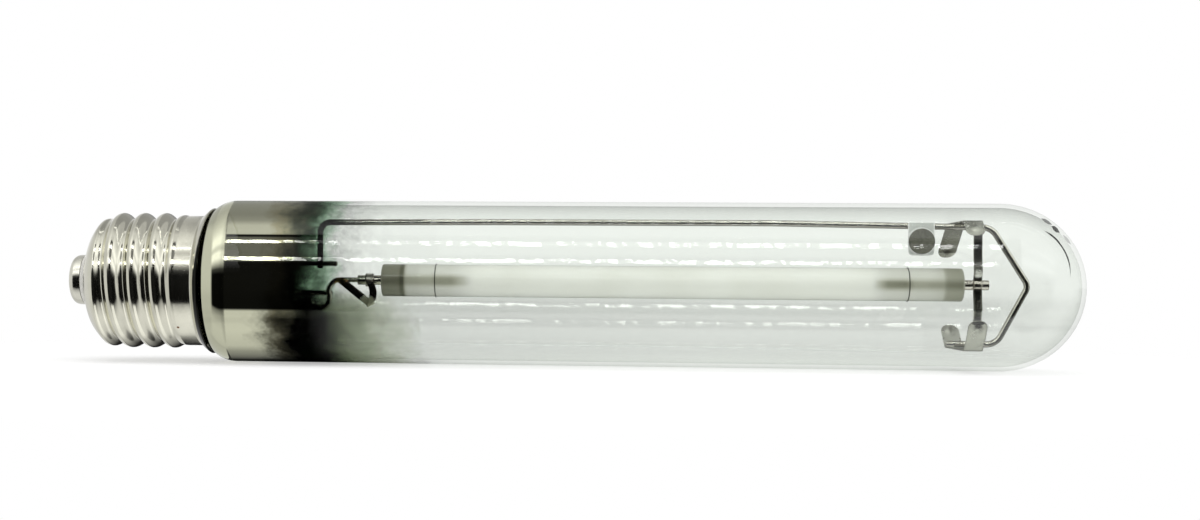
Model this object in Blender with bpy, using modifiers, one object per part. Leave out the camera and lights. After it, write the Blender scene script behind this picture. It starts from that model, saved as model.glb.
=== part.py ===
"""High pressure sodium lamp with a tubular clear bulb and a large Edison screw base.

Metres, +Z up. The lamp lies along X: its centre contact touches the plane X = 0 and the dome
points to +X. A station is a distance along X from that plane. The wire frame stands in the
plane Y = 0, and the side that is seen first, with the welded leads behind the frame, is -Y.
"""

import math

import bmesh
import bpy
from mathutils import Matrix, Vector

GAP = 0.0003  # clearance between two pieces that touch on the real lamp

# Screw base: rolled shell, insulator and centre contact
THREAD_MAJOR_DIAMETER = 0.0395
THREAD_DEPTH = 0.0018
THREAD_PITCH = 0.00635
THREAD_CREST_STATION = 0.0283  # a crest passes the top of the shell here
THREAD_START_STATION = 0.0120
THREAD_RISE_STATION = 0.0083  # the first turn starts to rise out of the closed end here
THREAD_RUN_IN = 0.0065  # length over which it rises
THREAD_RUN_OUT_STATION = 0.0320
THREAD_END_STATION = 0.0375
SKIRT_STEP = 0.0010  # radius of the plain skirt over the thread's root
SHELL_WALL = 0.0005
RIM_STATION = 0.0403  # where the plain skirt ends and the lip flares out to the glass
LIP_STANDOFF = 0.00085  # how far the lip's root stands off the bulb's shoulder
LIP_SEAT_ANGLE = 47.0  # degrees round the shoulder from its widest place to the lip's edge
CONE_START_STATION = 0.0065  # edge of the shell round the insulator
CONE_FULL_STATION = 0.0078  # where the closed end's curve is fullest
CONE_FULLNESS = 0.947  # how square the shell's closed end is, against the thread's root
CONTACT_DIAMETER = 0.0146
CONTACT_WALL = 0.0008
CONTACT_EDGE_RADIUS = 0.0026
CONTACT_HOLE_RADIUS = 0.0009
CONTACT_SKIRT_STATION = 0.0043
SOLDER_HEIGHT = 0.0004
SOLDER_RADIUS = 0.0023
SOLDER_CROWN_RADIUS = 0.0010
INSULATOR_LAND = 0.0011  # ring left between the contact and the shell
INSULATOR_DEPTH_STATION = 0.0100
INSULATOR_PROUD = 0.0010  # straight part in front of the shell's edge
INSULATOR_HOLE_RADIUS = 0.0013
CEMENT_THICKNESS = 0.00055
CEMENT_START_STATION = 0.0300
CEMENT_SKIRT_DEPTH = 0.0014  # bare stretch of the skirt past the cement
CEMENT_SKIRT_LENGTH = 0.0006

# Glass bulb
BULB_DIAMETER = 0.0470
GLASS_WALL = 0.0012
SHOULDER_CENTRE_INSET = 0.0018  # from the neck's outside in to the shoulder arc's centre
SHOULDER_RISE = 0.0017  # height of the fillet between the neck and the shoulder
NECK_END_STATION = 0.0160
DOME_CLEARANCE = 0.01296  # from the frame's pointed end to the inside of the dome

# Glass stem inside the neck
STEM_TUBE_RADIUS = 0.0080
STEM_FLARE_LENGTH = 0.0075
STEM_TOP_STATION = 0.0480
PRESS_LENGTH = 0.0120
PRESS_WIDTH = 0.0170
PRESS_THICKNESS = 0.0048
EXHAUST_RADIUS = 0.0019
EXHAUST_WALL = 0.0008
EXHAUST_TIP_STATION = 0.0140
LEAD_TAIL = 0.0050  # how far a lead reaches below the stem's closed top

# Leads, frame and hook wires
LEAD_RADIUS = 0.00072
UPPER_LEAD_HEIGHT = 0.0053
LOWER_LEAD_HEIGHT = -0.00326
UPPER_LEAD_REACH = 0.0137  # from the arc tube's end back to the upper lead's tip
LOWER_LEAD_REACH = 0.0151
LEAD_JOG = 0.0040
TAIL_WIRE_RADIUS = 0.00045
FRAME_WIRE_RADIUS = 0.00088
FRAME_WALL_CLEARANCE = 0.0050  # centre of the top run to the inside of the bulb
FRAME_TOP_DROP = 0.0005  # how much lower the top run is at its dome end
FRAME_LOWER_RISE = 0.0013  # how much nearer the axis the lower run is
FRAME_LEG_REACH = 0.0185  # from the arc tube's end back to the frame's leg
FRAME_CORNER_REACH = 0.0080  # from the arc tube's other end on to the frame's upper corner
FRAME_LOWER_CORNER_REACH = 0.0095
FRAME_APEX_REACH = 0.01824
FRAME_APEX_HEIGHT = 0.0005
FRAME_LOWER_RUN = 0.0139
FRAME_FOOT_DROP = 0.0015  # the leg's foot ends this far below the upper lead
LEG_BEND_RADIUS = 0.0030
DOME_BEND_RADIUS = 0.0045
APEX_BEND_RADIUS = 0.0030
HOOK_WIRE_RADIUS = 0.00075
HOOK_CURL = (  # route past the lower lead, as offsets along and up from that lead's tip
    (0.0010, 0.0035), (-0.0008, 0.0011), (-0.0006, -0.0009), (-0.0008, -0.0028),
    (-0.0023, -0.0041), (-0.0048, -0.0037), (-0.0061, -0.0024), (-0.0063, -0.0015))

# Arc tube, a translucent ceramic tube on its own axis
ARC_AXIS_HEIGHT = 0.0006
ARC_TUBE_STATION = 0.09243
ARC_TUBE_LENGTH = 0.1643
ARC_TUBE_DIAMETER = 0.0093
ARC_TUBE_WALL = 0.00075
ARC_TUBE_CHAMFER = 0.0008
PLUG_LENGTH = 0.0046
SEAL_THICKNESS = 0.0004
FEED_TUBE_RADIUS = 0.0014
FEED_TUBE_WALL = 0.0003
FEED_TUBE_REACH = 0.0073  # how far a niobium tube stands out of the arc tube
HOOK_WIRE_SEAT = 0.0040  # how far the hook wire slides into its niobium tube
ELECTRODE_RADIUS = 0.00045
ELECTRODE_SEAT = 0.0015
ELECTRODE_TIP_REACH = 0.0243
COIL_WIRE_RADIUS = 0.00025
COIL_LENGTH = 0.0081
COIL_SETBACK = 0.0009
COIL_TURNS = 6
AMALGAM_RADIUS = 0.0011
AMALGAM_FLATTENING = 0.7
AMALGAM_REACH = 0.0090

# Sheet metal at the dome end: cross strap, two springs and the getter
STRAP_WIDTH = 0.0024
STRAP_THICKNESS = 0.00025
STRAP_REACH = 0.0041
STRAP_BULGE_RUN = 0.0024
SPRING_WIDTH = 0.0051
SPRING_THICKNESS = 0.0003
SPRING_REACH = 0.0005
SPRING_DIMPLE_DEPTH = 0.0004
SPRING_DIMPLE_RADIUS = 0.0016
SPRING_TIP_ROWS = (0.0, 0.08, 0.3, 0.65, 1.0, 1.4)  # rows near a tip, in half widths from it
SPRING_BODY_ROWS = 6
TOP_SPRING_TIP_HEIGHTS = (0.0141, 0.0087)  # front finger, back finger
LOWER_SPRING_TIP_HEIGHTS = (0.0090, 0.0111)
GETTER_PLATE_WIDTH = 0.0073
GETTER_PLATE_CLEARANCE = 0.0035  # from the arc tube up to the plate's lower edge
GETTER_PLATE_THICKNESS = 0.0002
GETTER_PLATE_CORNER = 0.0009
GETTER_PLATE_REACH = 0.0115  # from the arc tube's dome end back to the plate's centre
GETTER_PLATE_OVERLAP = 0.0012  # how far the plate stands above the frame's top run
GETTER_PILL_DIAMETER = 0.0071
GETTER_PILL_THICKNESS = 0.0014
GETTER_PILL_DROP = 0.0006

# Strap between the hook wire and the niobium tube at the base end
RIBBON_WIDTH = 0.0021
RIBBON_THICKNESS = 0.0002
RIBBON_CLAMP_REACH = 0.0039  # from the arc tube's end back to the clamp's centre
RIBBON_WELD_REACH = 0.0123
RIBBON_SIDESTEP = 0.0009
RIBBON_FOLD_STEP = 0.0004
RIBBON_FOLD_HEIGHT = -0.0064

# Sizes that follow from the ones above
BULB_RADIUS = BULB_DIAMETER / 2
BULB_INNER_RADIUS = BULB_RADIUS - GLASS_WALL
THREAD_CREST_RADIUS = THREAD_MAJOR_DIAMETER / 2
THREAD_ROOT_RADIUS = THREAD_CREST_RADIUS - THREAD_DEPTH
THREAD_ROUNDING = ((THREAD_PITCH / 4) ** 2 + (THREAD_DEPTH / 2) ** 2) / THREAD_DEPTH
SKIRT_RADIUS = THREAD_ROOT_RADIUS + SKIRT_STEP
NECK_RADIUS = THREAD_ROOT_RADIUS - SHELL_WALL - CEMENT_THICKNESS - 2 * GAP
SHOULDER_CENTRE_RADIUS = NECK_RADIUS - SHOULDER_CENTRE_INSET
SHOULDER_RADIUS = BULB_RADIUS - SHOULDER_CENTRE_RADIUS
LIP_RADIUS = SHOULDER_RADIUS + GAP + SHELL_WALL
LIP_ROOT_RADIUS = LIP_RADIUS + LIP_STANDOFF
SHOULDER_STATION = RIM_STATION + math.sqrt(
    LIP_ROOT_RADIUS ** 2 - (SKIRT_RADIUS - SHOULDER_CENTRE_RADIUS) ** 2)
CONTACT_RADIUS = CONTACT_DIAMETER / 2
CONTACT_FACE_STATION = SOLDER_HEIGHT + GAP
ARC_TUBE_RADIUS = ARC_TUBE_DIAMETER / 2
ARC_TUBE_BORE_RADIUS = ARC_TUBE_RADIUS - ARC_TUBE_WALL
ARC_TUBE_END_STATION = ARC_TUBE_STATION + ARC_TUBE_LENGTH
FRAME_TOP_HEIGHT = BULB_INNER_RADIUS - FRAME_WALL_CLEARANCE
FRAME_DOME_HEIGHT = FRAME_TOP_HEIGHT - FRAME_TOP_DROP
FRAME_LOWER_HEIGHT = -(FRAME_TOP_HEIGHT - FRAME_LOWER_RISE)
FRAME_LEG_STATION = ARC_TUBE_STATION - FRAME_LEG_REACH
FRAME_APEX_STATION = ARC_TUBE_END_STATION + FRAME_APEX_REACH
DOME_CENTRE_STATION = (FRAME_APEX_STATION + FRAME_WIRE_RADIUS + DOME_CLEARANCE
                       - BULB_INNER_RADIUS)
PRESS_TOP_STATION = STEM_TOP_STATION + PRESS_LENGTH
LEAD_PLANE = FRAME_WIRE_RADIUS + LEAD_RADIUS + GAP  # the leads pass behind the frame
STRAP_PLANE = -(FRAME_WIRE_RADIUS + GAP + STRAP_THICKNESS / 2)
STRAP_STATION = ARC_TUBE_END_STATION + STRAP_REACH
SPRING_STATION = ARC_TUBE_END_STATION + SPRING_REACH
GETTER_STATION = ARC_TUBE_END_STATION - GETTER_PLATE_REACH
GETTER_PLATE_TOP = FRAME_DOME_HEIGHT + GETTER_PLATE_OVERLAP
GETTER_PLATE_HEIGHT = (GETTER_PLATE_TOP - ARC_AXIS_HEIGHT - ARC_TUBE_RADIUS
                       - GETTER_PLATE_CLEARANCE)
GETTER_PLANE = -(FRAME_WIRE_RADIUS + GAP + GETTER_PLATE_THICKNESS / 2)

ALONG_LAMP = (0.0, math.pi / 2, 0.0)  # lays a piece that was turned about Z along +X
TOWARDS_VIEWER = (math.pi / 2, 0.0, 0.0)

FINE_STEPS = 32
COARSE_STEPS = 24
SMALL_STEPS = 12
ROWS_PER_THREAD_TURN = 8


def start_scene():
    """Remove the scene's objects and make the collections for the pieces and the cutters."""
    for thing in list(bpy.data.objects):
        bpy.data.objects.remove(thing, do_unlink=True)
    pieces = bpy.data.collections.new("high_pressure_sodium_lamp")
    cutters = bpy.data.collections.new("cutters")
    for collection in (pieces, cutters):
        bpy.context.scene.collection.children.link(collection)
    return pieces, cutters


def finish(name, colour, roughness, metallic, see_through=0.0):
    """A Principled material."""
    material = bpy.data.materials.new(name)
    material.use_nodes = True
    shader = material.node_tree.nodes["Principled BSDF"]
    shader.inputs["Base Color"].default_value = (*colour, 1.0)
    shader.inputs["Roughness"].default_value = roughness
    shader.inputs["Metallic"].default_value = metallic
    shader.inputs["Transmission Weight"].default_value = see_through
    return material


def add_piece(name, data, material):
    """Link an object that carries its own material."""
    piece = bpy.data.objects.new(name, data)
    data.materials.append(material)
    PIECES.objects.link(piece)
    return piece


def add_cutter(name, data):
    """Link an object that only shapes another one."""
    cutter = bpy.data.objects.new(name, data)
    cutter.hide_render = True
    cutter.display_type = "WIRE"
    CUTTERS.objects.link(cutter)
    return cutter


def arc(centre_radius, centre_station, radius, start, end, steps):
    """Points (radius, station) on an arc; the angle is 0 outwards and 90 towards +X."""
    points = []
    for step in range(steps + 1):
        angle = math.radians(start + (end - start) * step / steps)
        points.append((centre_radius + radius * math.cos(angle),
                       centre_station + radius * math.sin(angle)))
    return points


def quadratic(start, control, end, share):
    """A point of a quadratic Bezier curve."""
    return tuple((1 - share) ** 2 * a + 2 * share * (1 - share) * b + share ** 2 * c
                 for a, b, c in zip(start, control, end))


def turned_mesh(name, profile, closed):
    """A profile of points (radius, station) in the plane of its axis."""
    mesh = bpy.data.meshes.new(name)
    edges = [(step, step + 1) for step in range(len(profile) - 1)]
    if closed:
        edges.append((len(profile) - 1, 0))
    mesh.from_pydata([(radius, 0.0, station) for radius, station in profile], edges, [])
    return mesh


def turn(piece, steps):
    """Turn a piece's profile about its axis and lay it along the lamp."""
    piece.rotation_euler = ALONG_LAMP
    screw = piece.modifiers.new("Turn", "SCREW")
    screw.steps = steps
    screw.render_steps = steps
    screw.use_merge_vertices = True
    screw.merge_threshold = 0.00001
    screw.use_smooth_shade = True


def turned(name, profile, material, steps=COARSE_STEPS, closed=True):
    """A turned piece on the lamp's axis. Its profile runs down the outer side."""
    piece = add_piece(name, turned_mesh(name, profile, closed), material)
    turn(piece, steps)
    return piece


def wire(name, points, radius, material, roundness=2):
    """A round wire through the points."""
    curve = bpy.data.curves.new(name, "CURVE")
    curve.dimensions = "3D"
    spline = curve.splines.new("POLY")
    spline.points.add(len(points) - 1)
    for point, place in zip(spline.points, points):
        point.co = (*place, 1.0)
    curve.bevel_depth = radius
    curve.bevel_resolution = roundness
    curve.use_fill_caps = True
    return add_piece(name, curve, material)


def bent(corners, radii, steps=5):
    """A wire's route with each inner corner rounded to its bend radius."""
    corners = [Vector(corner) for corner in corners]
    route = [corners[0]]
    for before, corner, after, radius in zip(corners, corners[1:], corners[2:], radii):
        incoming = (corner - before).normalized()
        outgoing = (after - corner).normalized()
        turn_angle = incoming.angle(outgoing)
        start = corner - incoming * radius * math.tan(turn_angle / 2)
        centre = corner + ((outgoing - incoming).normalized() * radius
                           / math.cos(turn_angle / 2))
        axis = incoming.cross(outgoing)
        for step in range(steps + 1):
            swing = Matrix.Rotation(turn_angle * step / steps, 3, axis)
            route.append(centre + swing @ (start - centre))
    route.append(corners[-1])
    return route


def smooth(points, steps=4):
    """A smooth route through hand-placed points (a Catmull-Rom curve)."""
    points = [Vector(point) for point in points]
    padded = [2 * points[0] - points[1], *points, 2 * points[-1] - points[-2]]
    route = []
    for a, b, c, d in zip(padded, padded[1:], padded[2:], padded[3:]):
        for step in range(steps):
            t = step / steps
            route.append(0.5 * (2 * b + (c - a) * t + (2 * a - 5 * b + 4 * c - d) * t ** 2
                                + (3 * b - a - 3 * c + d) * t ** 3))
    route.append(points[-1])
    return route


def sheet_mesh(name, columns, rows, place):
    """A grid whose point at (across, along), both 0 to 1, goes to place(across, along)."""
    grid = bmesh.new()
    bmesh.ops.create_grid(grid, x_segments=columns, y_segments=rows, size=0.5)
    for vertex in grid.verts:
        vertex.co = place(vertex.co.x + 0.5, vertex.co.y + 0.5)
    bmesh.ops.remove_doubles(grid, verts=grid.verts, dist=0.000001)
    mesh = bpy.data.meshes.new(name)
    grid.to_mesh(mesh)
    grid.free()
    mesh.shade_smooth()
    return mesh


def sheet_metal(name, columns, rows, place, thickness, material, inwards=False):
    """Sheet metal: a grid bent to shape and given its thickness."""
    piece = add_piece(name, sheet_mesh(name, columns, rows, place), material)
    solidify = piece.modifiers.new("Thickness", "SOLIDIFY")
    solidify.thickness = thickness
    solidify.offset = -1.0 if inwards else 0.0
    solidify.use_even_offset = True
    return piece


def ribbon(name, stops, thickness, material):
    """A strip of sheet through stops, each a centre and a vector from edge to edge."""
    def place(across, along):
        centre, edge_to_edge = stops[round(along * (len(stops) - 1))]
        return centre + edge_to_edge * (across - 0.5)
    return sheet_metal(name, 2, len(stops) - 1, place, thickness, material)


# The shell's closed end: a cone with a full curve from the insulator to the thread's root
def cone_point(share, depth=0.0):
    """A point (radius, station) on the closed end, or this deep under its skin."""
    start = (CONTACT_RADIUS + INSULATOR_LAND, CONE_START_STATION)
    end = (THREAD_ROOT_RADIUS, THREAD_START_STATION)
    control = (THREAD_ROOT_RADIUS * CONE_FULLNESS, CONE_FULL_STATION)
    radius, station = quadratic(start, control, end, share)
    step = 0.001
    near = quadratic(start, control, end, share + step)
    along = (near[0] - radius, near[1] - station)
    length = math.hypot(*along)
    return radius - depth * along[1] / length, station + depth * along[0] / length


def thread_radius(angle, station):
    """Radius of the rolled thread: equal round crests and grooves on a right-hand helix."""
    top = math.pi
    crest = THREAD_CREST_STATION + THREAD_PITCH * (angle - top) / (2 * math.pi)
    offset = abs((station - crest + THREAD_PITCH / 2) % THREAD_PITCH - THREAD_PITCH / 2)
    if offset <= THREAD_PITCH / 4:
        sink = THREAD_ROUNDING - math.sqrt(THREAD_ROUNDING ** 2 - offset ** 2)
    else:
        from_groove = THREAD_PITCH / 2 - offset
        sink = THREAD_DEPTH - (THREAD_ROUNDING
                               - math.sqrt(THREAD_ROUNDING ** 2 - from_groove ** 2))
    return THREAD_CREST_RADIUS - sink


def smoothstep(value):
    """0 below 0, 1 above 1 and a smooth rise between."""
    value = min(max(value, 0.0), 1.0)
    return value * value * (3 - 2 * value)


def shell_outline():
    """Plain outline (radius, station) of the shell's outside, from the insulator to the lip."""
    outline = [cone_point(step / 6) for step in range(6)]
    pitch_step = THREAD_PITCH / ROWS_PER_THREAD_TURN
    rows = math.ceil((THREAD_END_STATION - THREAD_START_STATION) / pitch_step)
    for row in range(rows + 1):
        share = row / rows
        station = THREAD_START_STATION + share * (THREAD_END_STATION - THREAD_START_STATION)
        outline.append((THREAD_ROOT_RADIUS, station))
    outline.append((SKIRT_RADIUS, (THREAD_END_STATION + RIM_STATION) / 2))
    root_angle = math.asin((SHOULDER_STATION - RIM_STATION) / LIP_ROOT_RADIUS)
    seat_angle = math.radians(LIP_SEAT_ANGLE)
    for step in range(4):
        angle = root_angle + (seat_angle - root_angle) * step / 3
        radius = LIP_ROOT_RADIUS + (LIP_RADIUS - LIP_ROOT_RADIUS) * step / 3
        outline.append((SHOULDER_CENTRE_RADIUS + radius * math.cos(angle),
                        SHOULDER_STATION - radius * math.sin(angle)))
    return outline


def base_shell():
    """The rolled screw shell: closed end, thread, plain skirt and flared lip in one sheet."""
    outline = shell_outline()

    def place(around, along):
        angle = 2 * math.pi * around
        radius, station = outline[round(along * (len(outline) - 1))]
        if station < THREAD_END_STATION:
            threaded = thread_radius(angle, station)
            rise = (station - THREAD_RISE_STATION) / THREAD_RUN_IN
            radius += (threaded - THREAD_ROOT_RADIUS) * smoothstep(rise)
        fade = smoothstep((station - THREAD_RUN_OUT_STATION)
                          / (THREAD_END_STATION - THREAD_RUN_OUT_STATION))
        if station <= THREAD_END_STATION:
            radius += (SKIRT_RADIUS - radius) * fade
        return Vector((radius * math.cos(angle), radius * math.sin(angle), station))

    piece = sheet_metal("base_shell", FINE_STEPS, len(outline) - 1, place, SHELL_WALL,
                        finish("nickel_plate", (0.78, 0.77, 0.72), 0.18, 1.0), inwards=True)
    piece.rotation_euler = ALONG_LAMP


def base_insulator():
    """Moulded insulator: fills the shell's closed end and backs the contact."""
    depth = SHELL_WALL + GAP
    outer = [cone_point(step / 5, depth) for step in range(5, 0, -1)]
    outer = [point for point in outer if point[1] < INSULATOR_DEPTH_STATION - GAP]
    neck = cone_point(0.0, SHELL_WALL)[0] - GAP
    outer.append((neck, cone_point(0.0, depth)[1]))
    land_station = CONE_START_STATION - INSULATOR_PROUD
    groove_station = CONTACT_SKIRT_STATION + GAP
    boss_radius = CONTACT_RADIUS - CONTACT_WALL - GAP
    profile = [(INSULATOR_HOLE_RADIUS, INSULATOR_DEPTH_STATION),
               (outer[0][0], INSULATOR_DEPTH_STATION),
               *outer,
               (neck, land_station),
               (CONTACT_RADIUS + GAP, groove_station),
               (boss_radius, groove_station),
               (boss_radius, CONTACT_FACE_STATION + CONTACT_WALL + GAP + CONTACT_EDGE_RADIUS / 2),
               (boss_radius - CONTACT_EDGE_RADIUS / 2, CONTACT_FACE_STATION + CONTACT_WALL + GAP),
               (INSULATOR_HOLE_RADIUS, CONTACT_FACE_STATION + CONTACT_WALL + GAP)]
    turned("base_insulator", profile, finish("insulator", (0.80, 0.79, 0.74), 0.45, 0.0))


def centre_contact():
    """Pressed contact cup with a rounded edge and a hole for its wire."""
    edge_station = CONTACT_FACE_STATION + CONTACT_EDGE_RADIUS
    edge_radius = CONTACT_RADIUS - CONTACT_EDGE_RADIUS
    outside = arc(edge_radius, edge_station, CONTACT_EDGE_RADIUS, 0, -90, 4)
    inside = arc(edge_radius, edge_station, CONTACT_EDGE_RADIUS - CONTACT_WALL, -90, 0, 3)
    profile = [(CONTACT_RADIUS, CONTACT_SKIRT_STATION), *outside,
               (CONTACT_HOLE_RADIUS, CONTACT_FACE_STATION),
               (CONTACT_HOLE_RADIUS, CONTACT_FACE_STATION + CONTACT_WALL), *inside,
               (CONTACT_RADIUS - CONTACT_WALL, CONTACT_SKIRT_STATION)]
    turned("centre_contact", profile, finish("contact_plate", (0.74, 0.73, 0.68), 0.22, 1.0))


def contact_solder():
    """Low solder dome on the contact, flattened where it meets the lampholder."""
    profile = [(0.0, SOLDER_HEIGHT), (SOLDER_RADIUS, SOLDER_HEIGHT),
               (SOLDER_RADIUS * 0.85, SOLDER_HEIGHT / 2),
               (SOLDER_CROWN_RADIUS, 0.0), (0.0, 0.0)]
    turned("contact_solder", profile, finish("solder", (0.60, 0.60, 0.58), 0.38, 1.0),
           closed=False)


def base_cement():
    """Ring of basing cement between the shell and the bulb's neck."""
    inner = NECK_RADIUS + GAP
    threaded = THREAD_ROOT_RADIUS - SHELL_WALL - GAP
    end_station = RIM_STATION - CEMENT_SKIRT_DEPTH
    skirt = SKIRT_RADIUS - SHELL_WALL - GAP
    skirt_station = end_station - CEMENT_SKIRT_LENGTH
    profile = [(skirt, end_station), (skirt, skirt_station),
               (threaded, skirt_station - skirt + threaded), (threaded, CEMENT_START_STATION),
               (inner, CEMENT_START_STATION), (inner, end_station)]
    turned("base_cement", profile, finish("cement", (0.62, 0.55, 0.42), 0.90, 0.0))


def bulb_side(inset, steps):
    """The bulb's wall from its dome's pole to its neck's end, this far under the skin."""
    shoulder_radius = SHOULDER_RADIUS - inset
    neck_radius = NECK_RADIUS - inset
    start_radius = neck_radius + SHOULDER_RISE
    lean = math.acos((start_radius - SHOULDER_CENTRE_RADIUS) / shoulder_radius)
    shoulder = arc(SHOULDER_CENTRE_RADIUS, SHOULDER_STATION, shoulder_radius, 0,
                   -math.degrees(lean), steps)
    start = shoulder[-1]
    corner_station = start[1] - SHOULDER_RISE * math.cos(lean) / math.sin(lean)
    corner = (neck_radius, corner_station)
    fillet_end = (neck_radius, corner_station - SHOULDER_RISE)
    fillet = [quadratic(start, corner, fillet_end, step / 3) for step in range(1, 4)]
    dome = arc(0.0, DOME_CENTRE_STATION, BULB_RADIUS - inset, 90, 0, steps + 3)
    return [(0.0, dome[0][1]), *dome[1:], *shoulder, *fillet, (neck_radius, NECK_END_STATION)]


def bulb():
    """The blown glass envelope, open at the neck where the stem is fused in."""
    outside = bulb_side(0.0, 5)
    inside = bulb_side(GLASS_WALL, 5)
    turned("bulb", outside + inside[::-1],
           finish("bulb_glass", (0.93, 0.96, 0.94), 0.02, 0.0, 1.0), FINE_STEPS, closed=False)


def bore(name, radius, start, end, height):
    """A cutter for a round hole along the lamp."""
    mesh = bpy.data.meshes.new(name)
    solid = bmesh.new()
    bmesh.ops.create_cone(solid, cap_ends=True, segments=SMALL_STEPS, radius1=radius, radius2=radius,
                          depth=end - start)
    solid.to_mesh(mesh)
    solid.free()
    cutter = add_cutter(name, mesh)
    cutter.location = ((start + end) / 2, 0.0, height)
    cutter.rotation_euler = ALONG_LAMP
    return cutter


def shape_with(piece, other, operation):
    """Join another solid to a piece, or cut it out."""
    boolean = piece.modifiers.new(other.name, "BOOLEAN")
    boolean.operation = operation
    boolean.object = other
    boolean.solver = "EXACT"


def stem():
    """Glass stem: flare fused to the neck, tube, press round the leads and exhaust tube."""
    flare_radius = NECK_RADIUS - GLASS_WALL - GAP
    flare_station = NECK_END_STATION + GLASS_WALL
    tube_bore = STEM_TUBE_RADIUS - GLASS_WALL
    top_inside = STEM_TOP_STATION - GLASS_WALL
    outer_flare = [quadratic((STEM_TUBE_RADIUS, flare_station + STEM_FLARE_LENGTH),
                             (STEM_TUBE_RADIUS, flare_station + GLASS_WALL),
                             (flare_radius, flare_station + GLASS_WALL), step / 4)
                   for step in range(5)]
    inner_flare = [quadratic((flare_radius, flare_station),
                             (tube_bore, flare_station),
                             (tube_bore, flare_station + STEM_FLARE_LENGTH), step / 4)
                   for step in range(5)]
    profile = [(0.0, STEM_TOP_STATION), (STEM_TUBE_RADIUS - GLASS_WALL, STEM_TOP_STATION),
               (STEM_TUBE_RADIUS, top_inside), *outer_flare, *inner_flare,
               (tube_bore, top_inside), (EXHAUST_RADIUS, top_inside),
               (EXHAUST_RADIUS, EXHAUST_TIP_STATION + EXHAUST_RADIUS),
               (EXHAUST_RADIUS * 0.6, EXHAUST_TIP_STATION + EXHAUST_RADIUS * 0.2),
               (0.0, EXHAUST_TIP_STATION)]
    piece = turned("stem", profile, finish("stem_glass", (0.85, 0.90, 0.87), 0.05, 0.0, 0.9),
                   16, closed=False)

    mesh = bpy.data.meshes.new("press")
    block = bmesh.new()
    bmesh.ops.create_cube(block, size=1.0)
    bmesh.ops.scale(block, vec=(PRESS_LENGTH + GLASS_WALL, PRESS_THICKNESS, PRESS_WIDTH),
                    verts=block.verts)
    bmesh.ops.bevel(block, geom=block.edges, offset=PRESS_THICKNESS / 4, segments=2,
                    affect="EDGES")
    block.to_mesh(mesh)
    block.free()
    press = add_cutter("press", mesh)
    press.location = (STEM_TOP_STATION + (PRESS_LENGTH - GLASS_WALL) / 2, 0.0, 0.0)
    shape_with(piece, press, "UNION")

    past_press = PRESS_TOP_STATION + GLASS_WALL
    exhaust_floor = EXHAUST_TIP_STATION + EXHAUST_RADIUS * 1.5
    shape_with(piece, bore("exhaust_bore", EXHAUST_RADIUS - EXHAUST_WALL, exhaust_floor,
                           past_press, 0.0), "DIFFERENCE")
    for name, height in (("upper_lead_bore", UPPER_LEAD_HEIGHT),
                         ("lower_lead_bore", LOWER_LEAD_HEIGHT)):
        shape_with(piece, bore(name, LEAD_RADIUS + GAP, top_inside - GLASS_WALL, past_press,
                               height), "DIFFERENCE")


def leads():
    """Two stiff leads through the press, and the thin wires that run on into the base."""
    lead_finish = finish("lead_wire", (0.30, 0.29, 0.27), 0.35, 1.0)
    tail_finish = finish("tail_wire", (0.62, 0.40, 0.25), 0.40, 1.0)
    tail_station = STEM_TOP_STATION - GLASS_WALL - LEAD_TAIL
    jog_station = PRESS_TOP_STATION + LEAD_JOG
    for name, height, reach in (("upper_lead", UPPER_LEAD_HEIGHT, UPPER_LEAD_REACH),
                                ("lower_lead", LOWER_LEAD_HEIGHT, LOWER_LEAD_REACH)):
        corners = [(tail_station, 0.0, height), (jog_station, 0.0, height),
                   (jog_station + LEAD_JOG, LEAD_PLANE, height),
                   (ARC_TUBE_STATION - reach, LEAD_PLANE, height)]
        wire(name, bent(corners, (LEAD_JOG / 2, LEAD_JOG / 2), 2), LEAD_RADIUS, lead_finish)

    weld_station = tail_station - GAP
    below_tip = EXHAUST_TIP_STATION - EXHAUST_RADIUS
    contact_route = [(weld_station, 0.0, LOWER_LEAD_HEIGHT),
                     (below_tip, 0.0, LOWER_LEAD_HEIGHT),
                     (INSULATOR_DEPTH_STATION + TAIL_WIRE_RADIUS, 0.0, 0.0),
                     (CONTACT_FACE_STATION, 0.0, 0.0)]
    wire("contact_wire", bent(contact_route, (0.002, 0.0015), 3), TAIL_WIRE_RADIUS, tail_finish)

    weld_radius, shell_station = cone_point(0.85, SHELL_WALL + GAP + TAIL_WIRE_RADIUS)
    flare_mouth = NECK_END_STATION - GAP - TAIL_WIRE_RADIUS
    shell_route = [(weld_station, 0.0, UPPER_LEAD_HEIGHT),
                   (flare_mouth, 0.0, UPPER_LEAD_HEIGHT),
                   ((flare_mouth + shell_station) / 2, 0.0, weld_radius - 0.002),
                   (shell_station, 0.0, weld_radius)]
    wire("shell_wire", bent(shell_route, (0.002, 0.001), 3), TAIL_WIRE_RADIUS, tail_finish)


def frame_wire():
    """The bent wire that carries the arc tube: leg, top run, pointed loop and lower run."""
    corner_station = ARC_TUBE_END_STATION + FRAME_CORNER_REACH
    lower_station = ARC_TUBE_END_STATION + FRAME_LOWER_CORNER_REACH
    corners = [(FRAME_LEG_STATION, 0.0, UPPER_LEAD_HEIGHT - FRAME_FOOT_DROP),
               (FRAME_LEG_STATION, 0.0, FRAME_TOP_HEIGHT),
               (corner_station, 0.0, FRAME_DOME_HEIGHT),
               (FRAME_APEX_STATION, 0.0, FRAME_APEX_HEIGHT),
               (lower_station, 0.0, FRAME_LOWER_HEIGHT),
               (lower_station - FRAME_LOWER_RUN, 0.0, FRAME_LOWER_HEIGHT)]
    radii = (LEG_BEND_RADIUS, DOME_BEND_RADIUS, APEX_BEND_RADIUS, DOME_BEND_RADIUS)
    wire("frame_wire", bent(corners, radii), FRAME_WIRE_RADIUS,
         finish("frame_wire", (0.36, 0.35, 0.33), 0.30, 1.0))


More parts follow.
